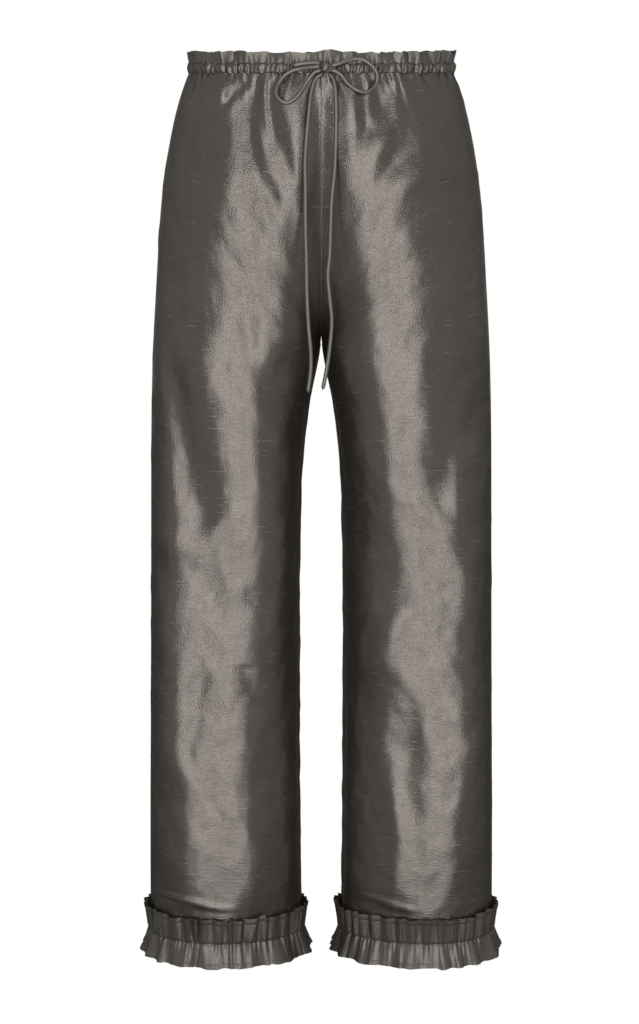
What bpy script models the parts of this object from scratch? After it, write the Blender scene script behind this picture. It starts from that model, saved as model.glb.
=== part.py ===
"""Drawstring trousers in raw silk, with a frilled waist and a gathered ruffle at each hem.

The trousers hang from the waist as they are worn. Metres, +Z up, the front faces -Y and the
wearer's left leg is at +X. The origin is the middle of the waist opening, level with the
drawstring. Four leg panels meet at the side seams, the inseams and the centre seams. The waist
casing and its frill, the four hem ruffles and the drawstring's bow are pieces of their own.
"""

import math

import bpy
import numpy as np
from mathutils.bvhtree import BVHTree

MM = 0.001

# Driving dimensions
CROTCH_Z = -297 * MM
PANEL_TOP_Z = -7.2 * MM
RISE = PANEL_TOP_Z - CROTCH_Z
PANEL_BOTTOM_Z = -985 * MM
PANEL_WALL = 1.6 * MM
SEAM_GAP = 0.3 * MM

CASING_WALL = 2.6 * MM
CASING_LOW_Z = -6.8 * MM
CASING_HIGH_Z = 5.6 * MM
CASING_BULGE = 1.0 * MM
CASING_PUCKERS = 70
CASING_PUCKER_DEPTH = 0.5 * MM

FRILL_WALL = 1.2 * MM
FRILL_LOW_Z = 5.9 * MM
FRILL_HIGH_Z = 16.6 * MM
FRILL_WAVES = 40
FRILL_WAVE_DEPTH = 2.4 * MM

RUFFLE_WALL = 1.1 * MM
RUFFLE_WAVES = 44
RUFFLE_TOP_Z = -948.5 * MM
RUFFLE_STITCH_Z = -978.5 * MM
RUFFLE_LOW_Z = -1004.5 * MM
RUFFLE_STITCH_DEPTH = 0.5 * MM
RUFFLE_EDGE_DEPTH = 3.3 * MM
HEADING_FLARE = 5.5 * MM
SKIRT_FLARE = 8.5 * MM

# Columns of one wave: share of the wave, height from -1 in the furrow to 1 on the ridge
PLEAT_COLUMNS = ((0.0, -1), (0.34, -0.7), (0.5, 1), (0.84, 0.7))
SOFT_WAVE_COLUMNS = ((0.0, -1), (0.27, 0), (0.5, 1), (0.73, 0))
PUCKER_COLUMNS = ((0.0, -1), (0.5, 1))

CORD_DIAMETER = 3.6 * MM
CORD_STEP = 9 * MM
CORD_CLEARANCE = 0.4 * MM
CORD_LIFT_AT_KNOT = 2.8 * MM
CORD_LIFT_LENGTH = 28 * MM
KNOT_SIZE = (10 * MM, 7.4 * MM, 9 * MM)
KNOT_PLACE = (4.5 * MM, -1.0 * MM)

PANEL_COLUMNS = 21
RISE_ROWS = 13
LEG_ROWS = 8

# Outline of one half of the trousers, in millimetres.
# z, side seam from the centre plane, leg front from the side plane, leg back from the side plane
OUTLINE = np.array(
    [
        (20, 143, 93, 103),
        (-7, 144.6, 93.5, 104),
        (-20, 150, 97, 108),
        (-42, 157.5, 102, 114),
        (-92, 169.5, 110, 126),
        (-157, 178, 113, 135),
        (-225, 182, 111, 135),
        (-297, 187, 106, 123),
        (-390, 190, 97, 107),
        (-520, 191.5, 87, 95),
        (-700, 193.5, 78, 86),
        (-850, 195.5, 73, 80),
        (-1010, 196.5, 71, 77),
    ]
)

# Half of the gap between the legs, in millimetres: z, inner edge of a leg from the centre plane
INNER_EDGE = np.array(
    [
        (-297, 0),
        (-345, 8.5),
        (-390, 15.5),
        (-440, 20.5),
        (-520, 23.0),
        (-700, 24.3),
        (-850, 23.6),
        (-1010, 22.0),
    ]
)

# Depth of the soft valley down the centre seams, in millimetres: z, front, back
CENTRE_VALLEY = np.array(
    [
        (-7, 0, 0),
        (-40, 2.5, 0.5),
        (-80, 8.0, 2),
        (-125, 12.0, 5),
        (-190, 11.0, 8),
        (-260, 5.0, 5),
        (-297, 0, 0),
        (-400, 0, 0),
    ]
)
VALLEY_HALF_WIDTH = 24 * MM

# Where each leg's section is frontmost and how square the section is.
# z in millimetres, shift of its crest towards the side seam in millimetres, squareness from 0 to 1
RIGHT_CREST = np.array(
    [
        (0, -4, 0.20),
        (-120, 0, 0.35),
        (-230, -16, 0.35),
        (-300, -8, 0.30),
        (-400, 10, 0.55),
        (-520, 12, 0.75),
        (-640, 6, 0.60),
        (-740, 8, 0.35),
        (-850, 6, 0.20),
        (-1000, 2, 0.20),
    ]
)
LEFT_CREST = np.array(
    [
        (0, -6, 0.25),
        (-120, -12, 0.30),
        (-230, -6, 0.30),
        (-300, 2, 0.30),
        (-400, 8, 0.30),
        (-520, 14, 0.45),
        (-640, 14, 0.55),
        (-740, 8, 0.55),
        (-850, 10, 0.50),
        (-1000, 8, 0.40),
    ]
)
BACK_CREST = np.array([(0, 0, 0.3), (-300, 0, 0.35), (-520, 4, 0.4), (-800, -6, 0.3), (-1000, 0, 0.25)])

# Soft folds on the front, in millimetres. x is across the front, + towards the wearer's left.
# x and z at the fold's top, middle and end, its half width, and its height (a trough is negative)
FRONT_FOLDS = {
    "right gather lobe": (-104, -7, -104, -26, -100, -44, 11, 3.5),
    "right slanting trough": (-76, -7, -98, -28, -122, -52, 11, -4.5),
    "right broad gather": (-66, -7, -86, -42, -96, -120, 17, 5.0),
    "right long gather": (-60, -7, -56, -50, -26, -128, 12, 5.0),
    "right deep trough": (-47, -7, -42, -50, -30, -112, 12, -7.5),
    "right inner gather": (-28, -7, -27, -50, -28, -125, 12, 5.0),
    "left inner gather": (26, -7, 28, -45, 24, -90, 12, 5.0),
    "left deep trough": (42, -7, 43, -45, 46, -95, 11, -7.0),
    "left long gather": (53, -7, 55, -60, 48, -150, 11, 5.0),
    "left narrow trough": (62, -7, 64, -38, 74, -120, 11, -4.5),
    "left broad gather": (76, -7, 78, -40, 64, -120, 15, 5.0),
    "left slanting ridge": (116, -30, 100, -90, 76, -150, 17, 4.0),
    "right thigh ridge": (-86, -120, -82, -260, -94, -430, 26, 5.5),
    "right thigh hollow": (-140, -150, -148, -300, -130, -520, 22, -4.5),
    "right outer shelf": (-172, -330, -166, -430, -150, -580, 15, 6.0),
    "right shin ridge": (-110, -520, -118, -720, -124, -930, 34, 5.0),
    "right inner hollow": (-60, -560, -72, -640, -78, -800, 20, -4.0),
    "left thigh ridge": (74, -130, 82, -280, 96, -420, 22, 5.5),
    "left thigh hollow": (118, -200, 124, -330, 122, -470, 20, -4.5),
    "left outer shelf": (150, -400, 146, -520, 150, -640, 18, 5.5),
    "left shin ridge": (152, -620, 144, -760, 130, -930, 15, 5.5),
    "left shin trough": (112, -660, 114, -790, 118, -930, 15, -6.5),
    "left inner shin ridge": (84, -640, 92, -790, 100, -930, 15, 5.0),
}

# Soft folds on the back, which hangs in the same way
BACK_FOLDS = {
    "right seat gather": (-110, -7, -104, -40, -92, -110, 14, 4.5),
    "right seat trough": (-86, -7, -80, -45, -70, -110, 12, -6.0),
    "right inner seat gather": (-60, -7, -52, -50, -44, -130, 13, 5.0),
    "right centre trough": (-36, -7, -34, -40, -36, -90, 11, -4.5),
    "left centre gather": (22, -7, 26, -45, 30, -100, 12, 4.5),
    "left seat trough": (46, -7, 50, -45, 58, -115, 12, -6.0),
    "left seat gather": (72, -7, 76, -45, 82, -130, 14, 5.0),
    "left side trough": (104, -7, 106, -40, 100, -90, 13, -4.5),
    "right seat fold": (-60, -215, -96, -262, -146, -280, 18, -5.5),
    "left seat fold": (56, -225, 92, -268, 140, -292, 18, -5.5),
    "right calf ridge": (-96, -330, -108, -600, -116, -930, 30, 5.0),
    "right calf hollow": (-150, -380, -146, -560, -152, -760, 20, -4.5),
    "left calf ridge": (100, -340, 112, -560, 108, -930, 28, 5.0),
    "left calf hollow": (62, -420, 66, -600, 60, -780, 18, -4.0),
    "left side hollow": (152, -500, 150, -680, 154, -880, 18, -4.0),
}
FOLD_FADE = 0.22
SEAM_FADE = 22 * MM
GATHER_FADE = 16 * MM
CROTCH_SOFTNESS = 0.11
SMOOTHING = ((-2, 1 / 16), (-1, 4 / 16), (0, 6 / 16), (1, 4 / 16), (2, 1 / 16))

# Routes of the drawstring in millimetres, as seen from the front: x, z.
# How far each point stands off the cloth comes from the cloth behind it.
LOOP_RIGHT = [
    (-0.9, 0.0), (-6, -0.8), (-14, -1.6), (-22, -2.6), (-30, -4.4), (-38, -9), (-43.5, -15), (-47.8, -24),
    (-47.6, -31), (-43.5, -36.2), (-36.8, -38.4), (-28.5, -34.5), (-20.6, -25), (-13.6, -14), (-7, -6.4),
    (0.3, -4.2),
]
LOOP_LEFT = [
    (9.8, 0.0), (13.4, 1.0), (17, 2.0), (23.6, 4.2), (31.4, 6.8), (39.4, 7.6), (48.2, 4.8), (55.4, -1.2),
    (59.2, -8), (59.2, -15.6), (55.8, -22.8), (49, -27.2), (43, -26.8), (35.2, -23.8), (27.4, -17.6),
    (21.2, -9.6), (15, -5.4), (9.4, -4.0),
]
TAIL_RIGHT = [
    (2.4, -6.7), (-0.4, -8.9), (-4.8, -11.6), (-8.1, -17.4), (-10.3, -25), (-11.8, -34), (-13.4, -50),
    (-15.6, -72), (-17.4, -100), (-17.2, -130), (-17, -170), (-16, -210), (-15.6, -240), (-14, -275),
    (-11.4, -305), (-11.6, -325), (-14.6, -349),
]
TAIL_LEFT = [
    (6.8, -6.7), (9.4, -9.2), (12.4, -13.6), (14.6, -22), (15.4, -34), (15.8, -52), (15.4, -80),
    (14.2, -110), (11.2, -140), (10, -170), (9, -200), (7, -222), (9, -246), (11.2, -270), (9.6, -295),
    (6, -322), (1.4, -346),
]
LEAD_RIGHT = [(-0.4, 2.0), (-6, 3.4), (-12, 3.4), (-20, 2.6), (-26, 1.6), (-31, 0.6)]


def through(table, column, z):
    """A smooth curve through a table's rows: a cubic between rows, with slopes taken from neighbours."""
    rows = table[np.argsort(table[:, 0])] * MM
    at, values = rows[:, 0], rows[:, column]
    slopes = np.gradient(values, at)
    z = np.clip(z, at[0], at[-1])
    i = np.clip(np.searchsorted(at, z) - 1, 0, len(at) - 2)
    width = at[i + 1] - at[i]
    s = (z - at[i]) / width
    start = (2 * s**3 - 3 * s**2 + 1) * values[i] + (s**3 - 2 * s**2 + s) * width * slopes[i]
    end = (3 * s**2 - 2 * s**3) * values[i + 1] + (s**3 - s**2) * width * slopes[i + 1]
    return start + end


def eased(s):
    """A smooth step from 0 to 1."""
    s = np.clip(s, 0, 1)
    return s * s * (3 - 2 * s)


def row_heights(row):
    """Heights of a row at the side seam and at the centre. Rows are 0 at the casing and 1 at the crotch.

    At the centre seam they crowd round a quarter circle, so that the seam runs down and then back."""
    at_side = PANEL_TOP_Z - row * RISE
    arc = np.clip(1 - row, 0, 1) * np.pi / 2
    at_centre = np.where(row < 1, CROTCH_Z + RISE * (1 - np.cos(arc)), at_side)
    return at_side, at_centre, arc


def crest_of(side, face, z):
    """Shift of a leg's crest in metres and its section's squareness, at heights z."""
    table = BACK_CREST if face > 0 else (RIGHT_CREST if side < 0 else LEFT_CREST)
    return through(table, 1, z), through(table, 2, z) / MM


def plain_point(side, face, turn, row):
    """A point of the cloth without folds. turn runs from 0 at the side seam to pi at the centre or inseam.

    The torso is a quarter of a rounded oval and the leg is half of an oval. Down the side the one
    becomes the other slowly, and at the centre it does so round the crotch's curve.
    face is -1 for the front and +1 for the back, side is -1 for the wearer's right."""
    inward = turn / np.pi
    at_side, at_centre, arc = row_heights(row)
    z = at_side + (at_centre - at_side) * inward**2
    half_width = through(OUTLINE, 1, z)
    depth = through(OUTLINE, 2 if face < 0 else 3, z)
    inner = np.where(row > 1, through(INNER_EDGE, 1, np.minimum(z, CROTCH_Z)), 0)
    fullness = 2.0 if face < 0 else 2.3
    centre_share = 1 - (1 - np.cos(arc) ** fullness) ** (1 / fullness)
    side_share = eased((row - 0.15) / 1.3)
    share = side_share + (centre_share - side_share) * inward**3
    torso_x = half_width * np.clip(np.cos(turn / 2), 0, 1) ** 0.88
    torso_y = depth * np.clip(np.sin(turn / 2), 0, 1) ** 0.88
    shift, squareness = crest_of(side, face, z)
    around = np.clip(np.sin(turn), 0, 1)
    leg_x = (half_width + inner) / 2 + (half_width - inner) / 2 * np.cos(turn) + shift * around**2
    leg_y = depth * around ** (0.94 - 0.5 * squareness)
    x = (1 - share) * torso_x + share * leg_x
    y = (1 - share) * torso_y + share * leg_y
    return np.stack([side * x, face * y, z], axis=-1)


def base_point(side, face, turn, row):
    """The plain point averaged along its column, which rounds the crotch away from the centre seam."""
    turn, row = np.broadcast_arrays(turn, row)
    reach = CROTCH_SOFTNESS * (1 - turn / np.pi) ** 0.6 * eased(row / 0.3)
    return sum(share * plain_point(side, face, turn, row + step * reach) for step, share in SMOOTHING)


def valley_depth(face, x, z):
    """How far the cloth dips towards the centre seam."""
    deep = through(CENTRE_VALLEY, 1 if face < 0 else 2, z)
    return deep * np.exp(-((x / VALLEY_HALF_WIDTH) ** 2))


def fold_height(folds, x, z):
    """The sum of the soft folds: each is a bell across a bent path that fades at both ends."""
    total = np.zeros(np.broadcast(x, z).shape)
    for row in folds.values():
        x0, z0, x1, z1, x2, z2, half_width, height = (value * MM for value in row)
        low, high = min(z0, z2), max(z0, z2)
        path = np.polyfit([z0, z1, z2], [x0, x1, x2], 2)
        along = (high - z) / (high - low)
        starts_at_waist = high > -10 * MM
        start = 1 if starts_at_waist else eased((along + FOLD_FADE) / FOLD_FADE)
        fade = start * eased((1 + FOLD_FADE - along) / (2 * FOLD_FADE))
        across = (x - np.polyval(path, np.clip(z, low, high))) / half_width
        total += height * fade * np.exp(-(across**2))
    return total


def cloth_point(side, face, turn, row):
    """A point of the cloth with its folds and its valley, and its outward direction without them."""
    step = 1e-3
    here = base_point(side, face, turn, row)
    before, after = np.clip(turn - step, 0, np.pi), np.clip(turn + step, 0, np.pi)
    round_it = base_point(side, face, after, row) - base_point(side, face, before, row)
    down_it = base_point(side, face, turn, row + step) - base_point(side, face, turn, row - step)
    outward = np.cross(down_it, round_it) * side * face
    outward /= np.maximum(np.linalg.norm(outward, axis=-1, keepdims=True), 1e-12)
    x, z = here[..., 0], here[..., 2]
    from_inseam = np.where(row < 1, 1.0, (np.pi - turn) * 70 * MM / SEAM_FADE)
    beside_seams = eased(turn * 70 * MM / SEAM_FADE) * eased(from_inseam)
    beside_centre = eased(np.abs(x) / SEAM_FADE)
    below_casing = eased((PANEL_TOP_Z - z) / GATHER_FADE)
    folds = fold_height(FRONT_FOLDS if face < 0 else BACK_FOLDS, x, z)
    move = folds * beside_seams * beside_centre * below_casing - valley_depth(face, x, z)
    return here + outward * move[..., None], outward


def folded_directions(middle, outward):
    """Directions square to the folded cloth, from the grid itself, on the outward side and level at
    the top and bottom edges."""
    square = np.cross(np.gradient(middle, axis=0), np.gradient(middle, axis=1))
    square *= np.sign(np.einsum("ijk,ijk->ij", square, outward))[..., None]
    square /= np.maximum(np.linalg.norm(square, axis=-1, keepdims=True), 1e-12)
    mixed = square + 0.35 * outward
    mixed[[0, -1], :, 2] = 0
    return mixed / np.linalg.norm(mixed, axis=-1, keepdims=True)


def seam_directions(outward, side, rows):
    """Outward directions made square at the panel's seams, so that neighbouring walls meet edge to edge."""
    made = outward.copy()
    made[:, 0] = (side, 0, 0)
    made[rows < 1, -1, 0] = 0
    made[rows > 1, -1] = (-side, 0, 0)
    made[rows == 1, -1] = (0, 0, -1)
    return made / np.linalg.norm(made, axis=-1, keepdims=True)


def wall(name, middle, outward, thickness, material):
    """A closed wall round a grid of points: an outer sheet, an inner sheet and a rim.

    Both sheets are cut into triangles along the same diagonals, so the wall keeps its thickness."""
    rows, columns = middle.shape[:2]
    outer = middle + outward * thickness / 2
    inner = middle - outward * thickness / 2
    points = np.concatenate([outer.reshape(-1, 3), inner.reshape(-1, 3)])
    index = np.arange(rows * columns).reshape(rows, columns)
    corners = (index[:-1, :-1], index[1:, :-1], index[1:, 1:], index[:-1, 1:])
    a, b, c, d = (corner.ravel() for corner in corners)
    flat = middle.reshape(-1, 3)
    shorter = np.linalg.norm(flat[a] - flat[c], axis=1) <= np.linalg.norm(flat[b] - flat[d], axis=1)
    first = np.where(shorter, [a, b, c], [a, b, d]).T
    second = np.where(shorter, [a, c, d], [b, c, d]).T
    outer_faces = np.concatenate([first, second])
    inner_faces = (outer_faces + rows * columns)[:, ::-1]
    edge = np.concatenate([index[0, :-1], index[:-1, -1], index[-1, :0:-1], index[:0:-1, 0]])
    following = np.roll(edge, -1)
    across = [edge, following, following + rows * columns]
    back = [edge, following + rows * columns, edge + rows * columns]
    faces = np.concatenate([outer_faces, inner_faces, np.stack(across, axis=-1), np.stack(back, axis=-1)])
    mesh = bpy.data.meshes.new(name)
    mesh.from_pydata(points.tolist(), [], faces.tolist())
    if volume_of(points, faces) < 0:
        mesh.flip_normals()
    return add_object(name, mesh, material)


def volume_of(points, triangles):
    """Signed volume inside a closed surface of triangles, the sum of the pyramids to the origin."""
    a, b, c = (points[triangles[:, i]] for i in range(3))
    return np.einsum("ij,ij->i", a, np.cross(b, c)).sum() / 6


def add_object(name, data, material):
    """Puts a mesh or a curve into the scene under its node's name."""
    data.materials.append(material)
    made = bpy.data.objects.new(name, data)
    bpy.context.scene.collection.objects.link(made)
    if made.type == "MESH":
        data.shade_smooth()
        data.set_sharp_from_angle(angle=math.radians(50))
    return made


def leg_panel(name, side, face, material):
    """One of the four main panels, from the casing to the hem, with its seam edges held apart."""
    last_row = (PANEL_TOP_Z - PANEL_BOTTOM_Z) / RISE
    rows = np.concatenate([np.linspace(0, 1, RISE_ROWS), np.linspace(1, last_row, LEG_ROWS + 1)[1:]])
    turns = np.linspace(0, np.pi, PANEL_COLUMNS)
    middle, outward = cloth_point(side, face, turns[None, :], rows[:, None])
    outward = seam_directions(folded_directions(middle, outward), side, rows)
    middle[:, 0, 1] += face * SEAM_GAP / 2
    middle[rows <= 1, -1, 0] = side * SEAM_GAP / 2
    middle[rows >= 1, -1, 1] += face * SEAM_GAP / 2
    return wall(name, middle, outward, PANEL_WALL, material)


def closed_line(points):
    """A closed line's points, its outward directions seen from above, and how far round each point is."""
    ahead = np.roll(points, -1, axis=0) - np.roll(points, 1, axis=0)
    outward = np.stack([ahead[:, 1], -ahead[:, 0], 0 * ahead[:, 0]], axis=1)
    outward /= np.linalg.norm(outward, axis=1, keepdims=True)
    steps = np.linalg.norm(np.roll(points, -1, axis=0) - points, axis=1)
    return points, outward, np.concatenate([[0], np.cumsum(steps)]) / steps.sum()


def waist_line():
    """The line round the waist, from the wearer's right side seam across the front and round the back."""
    turn = np.linspace(0, np.pi, 181)
    right_front = base_point(-1, -1, turn, 0.0)
    left_front = base_point(1, -1, turn, 0.0)[::-1][1:]
    left_back = base_point(1, 1, turn, 0.0)[1:]
    right_back = base_point(-1, 1, turn, 0.0)[::-1][1:-1]
    return closed_line(np.concatenate([right_front, left_front, left_back, right_back]))


def leg_line(side, z):
    """The line round one leg at a height, which runs across the front first.

    It starts at the wearer's right hand end of the front: a side seam, or the left leg's inseam."""
    turn = np.linspace(0, np.pi, 181)
    row = (PANEL_TOP_Z - z) / RISE
    front = cloth_point(side, -1, turn, row)[0]
    back = cloth_point(side, 1, turn, row)[0]
    if side > 0:
        front, back = front[::-1], back[::-1]
    return closed_line(np.concatenate([front, back[::-1][1:-1]]))


def on_line(line, share):
    """Points and outward directions at shares of the way round a closed line."""
    points, outward, along = line
    wrapped_points = np.concatenate([points, points[:1]])
    wrapped_outward = np.concatenate([outward, outward[:1]])
    place = np.stack([np.interp(share, along, wrapped_points[:, k]) for k in range(3)], axis=-1)
    direction = np.stack([np.interp(share, along, wrapped_outward[:, k]) for k in range(3)], axis=-1)
    return place, direction / np.linalg.norm(direction, axis=-1, keepdims=True)


def uneven_waves(count, columns, seed):
    """Shares round a line for the columns of uneven waves, and each column's height from -1 to 1.

    columns gives a wave's own columns as (share of the wave, height) pairs."""
    random = np.random.default_rng(seed)
    widths = 1 + 0.3 * random.uniform(-1, 1, count)
    starts = np.concatenate([[0], np.cumsum(widths)]) / widths.sum()
    sizes = 1 + 0.25 * random.uniform(-1, 1, count)
    within, height = np.array(columns).T
    shares = (starts[:-1, None] + np.diff(starts)[:, None] * within).ravel()
    heights = (sizes[:, None] * height).ravel()
    return np.append(shares, 1.0), np.append(heights, heights[0])


def band(name, line, half, levels, waves, thickness, material):
    """Half of a gathered band round a line. Each level gives z, offset from the line and wave depth.

    half is 0 for the stretch across the front and 1 for the one across the back."""
    shares, heights = waves
    gap = SEAM_GAP / 2 / line_length(line)
    middle_share = half_share(line)
    low, high = ((0, middle_share), (middle_share, 1))[half]
    inside = (shares > low + 4 * gap) & (shares < high - 4 * gap)
    own = np.concatenate([[low + gap], shares[inside], [high - gap]])
    wave = np.interp(own, shares, heights)
    place, outward = on_line(line, own)
    grid = []
    for z, offset, depth in levels:
        level = place + outward * (offset + depth * wave)[:, None]
        level[:, 2] = z
        grid.append(level)
    grid = np.array(grid)
    return wall(name, grid, band_directions(grid, outward), thickness, material)


def band_directions(grid, outward):
    """Outward directions of a gathered band, across its waves and its flare, and level at its edges."""
    along = np.gradient(grid, axis=1)
    down = np.gradient(grid, axis=0)
    direction = np.cross(along, down)
    direction *= np.sign(np.einsum("ijk,jk->ij", direction, outward))[..., None]
    direction[:, 0], direction[:, -1] = outward[0], outward[-1]
    direction[0, :, 2], direction[-1, :, 2] = 0, 0
    return direction / np.linalg.norm(direction, axis=-1, keepdims=True)


def line_length(line):
    points = line[0]
    return np.linalg.norm(np.roll(points, -1, axis=0) - points, axis=1).sum()


def half_share(line):
    """The share of the way round at which a line reaches its far seam, half way through its points."""
    return line[2][len(line[0]) // 2]


def waist_band(material, frill_material):
    """The casing that holds the drawstring, and the frill that stands above it, each in two halves."""
    line = waist_line()
    puckers = uneven_waves(CASING_PUCKERS, PUCKER_COLUMNS, seed=3)
    waves = uneven_waves(FRILL_WAVES, SOFT_WAVE_COLUMNS, seed=8)
    casing_middle_z = (CASING_LOW_Z + CASING_HIGH_Z) / 2
    casing = [
        (CASING_HIGH_Z, -0.3 * MM, CASING_PUCKER_DEPTH),
        (casing_middle_z, CASING_BULGE, CASING_PUCKER_DEPTH),
        (CASING_LOW_Z, 0, CASING_PUCKER_DEPTH),
    ]
    frill_middle_z = (FRILL_LOW_Z + FRILL_HIGH_Z) / 2
    frill = [
        (FRILL_HIGH_Z, -0.3 * MM, FRILL_WAVE_DEPTH),
        (frill_middle_z, -0.4 * MM, 0.6 * FRILL_WAVE_DEPTH),
        (FRILL_LOW_Z, -0.3 * MM, CASING_PUCKER_DEPTH),
    ]
    for half, word in enumerate(("front", "back")):
        band(f"waist_casing_{word}", line, half, casing, puckers, CASING_WALL, material)
        band(f"waist_frill_{word}", line, half, frill, waves, FRILL_WALL, frill_material)


def hem_ruffle(side, word, material):
    """The gathered strip round one leg: a heading above its stitch line and a skirt below it."""
    line = leg_line(side, RUFFLE_STITCH_Z)
    on_leg = PANEL_WALL / 2 + SEAM_GAP + RUFFLE_WALL / 2 + RUFFLE_STITCH_DEPTH * 1.7
    levels = [
        (RUFFLE_TOP_Z, on_leg + HEADING_FLARE, RUFFLE_EDGE_DEPTH),
        (RUFFLE_STITCH_Z, on_leg, RUFFLE_STITCH_DEPTH),
        (RUFFLE_LOW_Z, on_leg + SKIRT_FLARE, RUFFLE_EDGE_DEPTH),
    ]
    waves = uneven_waves(RUFFLE_WAVES, PLEAT_COLUMNS, seed=21 if side < 0 else 34)
    for half, face_word in enumerate(("front", "back")):
        band(f"hem_ruffle_{word}_{face_word}", line, half, levels, waves, RUFFLE_WALL, material)


def cloth_tree(pieces):
    """A search tree over the faces of the cloth that the bow lies on."""
    points, faces = [], []
    for piece in pieces:
        first = len(points)
        points += [vertex.co[:] for vertex in piece.data.vertices]
        faces += [[first + corner for corner in face.vertices] for face in piece.data.polygons]
    return BVHTree.FromPolygons(points, faces)


def cloth_front(tree, x, z, reach):
    """How far forward the cloth lies behind a round place seen from the front, as a y coordinate."""
    around = [(0, 0)] + [(math.cos(t), math.sin(t)) for t in np.linspace(0, 2 * math.pi, 8, endpoint=False)]
    hits = [tree.ray_cast((x + reach * across, -1, z + reach * up), (0, 1, 0))[0] for across, up in around]
    return min((hit.y for hit in hits if hit), default=0)


def smooth_route(points, step):
    """Points an even step apart on a smooth curve through a route's own points."""
    own = np.array(points)
    ends = np.concatenate([[2 * own[0] - own[1]], own, [2 * own[-1] - own[-2]]])
    fine = []
    for before, start, end, after in zip(ends, ends[1:], ends[2:], ends[3:]):
        s = np.linspace(0, 1, 12, endpoint=False)[:, None]
        curve = 2 * start + (end - before) * s + (2 * before - 5 * start + 4 * end - after) * s**2
        fine.append((curve + (3 * start - before - 3 * end + after) * s**3) / 2)
    line = np.concatenate([*fine, own[-1:]])
    along = np.concatenate([[0], np.cumsum(np.linalg.norm(np.diff(line, axis=0), axis=1))])
    at = np.linspace(0, along[-1], max(4, round(along[-1] / step)) + 1)
    return np.stack([np.interp(at, along, line[:, k]) for k in range(line.shape[1])], axis=1)


def laid_on_cloth(tree, route, lifted, hangs):
    """A flat route put in front of the cloth, 4 mm between its points.

    Both ends of a lifted route rise to the middle of the knot. A hanging route stays clear of
    cloth that recedes below it."""
    seen = smooth_route(np.array(route) * MM, 4 * MM)
    level = np.array([cloth_front(tree, x, z, CORD_DIAMETER / 2) for x, z in seen])
    level -= CORD_DIAMETER / 2 + CORD_CLEARANCE
    if hangs:
        level = np.minimum.accumulate(level)
    width = 5
    near = np.pad(level, width // 2, mode="edge")
    foremost = np.lib.stride_tricks.sliding_window_view(near, width).min(axis=1)
    level = np.convolve(np.pad(foremost, width // 2, mode="edge"), np.ones(width) / width, mode="valid")
    if lifted:
        from_start = np.arange(len(seen)) * 4 * MM / CORD_LIFT_LENGTH
        level -= CORD_LIFT_AT_KNOT * (2 - eased(from_start) - eased(from_start[::-1]))
    return np.stack([seen[:, 0], level, seen[:, 1]], axis=1)


def cord(name, tree, route, material, lifted=False, hangs=False, step=CORD_STEP):
    """A round cord along a route, with closed ends."""
    points = smooth_route(laid_on_cloth(tree, route, lifted, hangs), step)
    curve = bpy.data.curves.new(name, "CURVE")
    curve.dimensions = "3D"
    curve.bevel_depth = CORD_DIAMETER / 2
    curve.bevel_resolution = 2
    curve.use_fill_caps = True
    spline = curve.splines.new("POLY")
    spline.points.add(len(points) - 1)
    spline.points.foreach_set("co", np.column_stack([points, np.ones(len(points))]).ravel())
    return add_object(name, curve, material)


def knot(tree, material):
    """The bow's knot: a small rounded lump that sits on the casing between the two loops."""
    rings, spokes = 8, 14
    drop = np.linspace(0, np.pi, rings + 1)[1:-1]
    turn = np.linspace(0, 2 * np.pi, spokes, endpoint=False)
    wide = np.sin(drop)[:, None]
    lumps = 1 + 0.06 * np.sin(3 * turn)[None, :] * wide
    x = wide * np.cos(turn)[None, :] * lumps
    y = wide * np.sin(turn)[None, :] * lumps
    z = np.cos(drop)[:, None] + 0 * x
    body = np.stack([x, y, z], axis=-1).reshape(-1, 3)
    points = np.concatenate([body, [[0, 0, 1], [0, 0, -1]]]) * np.array(KNOT_SIZE) / 2
    centre_x, centre_z = KNOT_PLACE
    middle_y = cloth_front(tree, centre_x, centre_z, KNOT_SIZE[0] / 5) - KNOT_SIZE[1] / 2 - CORD_CLEARANCE
    points += (centre_x, middle_y, centre_z)
    faces = []
    for ring in range(len(drop) - 1):
        for spoke in range(spokes):
            after = (spoke + 1) % spokes
            low, high = ring * spokes, (ring + 1) * spokes
            faces.append((low + spoke, high + spoke, high + after, low + after))
    top, bottom, last = len(body), len(body) + 1, (len(drop) - 1) * spokes
    for spoke in range(spokes):
        after = (spoke + 1) % spokes
        faces.append((top, spoke, after))
        faces.append((bottom, last + after, last + spoke))
    mesh = bpy.data.meshes.new("drawstring_knot")
    mesh.from_pydata(points.tolist(), [], faces)
    return add_object("drawstring_knot", mesh, material)


def silk(name, colour, roughness):
    """Raw silk: a dark olive grey with a metallic lustre."""
    material = bpy.data.materials.new(name)
    material.use_nodes = True
    shader = material.node_tree.nodes["Principled BSDF"]
    shader.inputs["Base Color"].default_value = (*colour, 1)
    shader.inputs["Roughness"].default_value = roughness
    shader.inputs["Metallic"].default_value = 0.3
    return material


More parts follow.
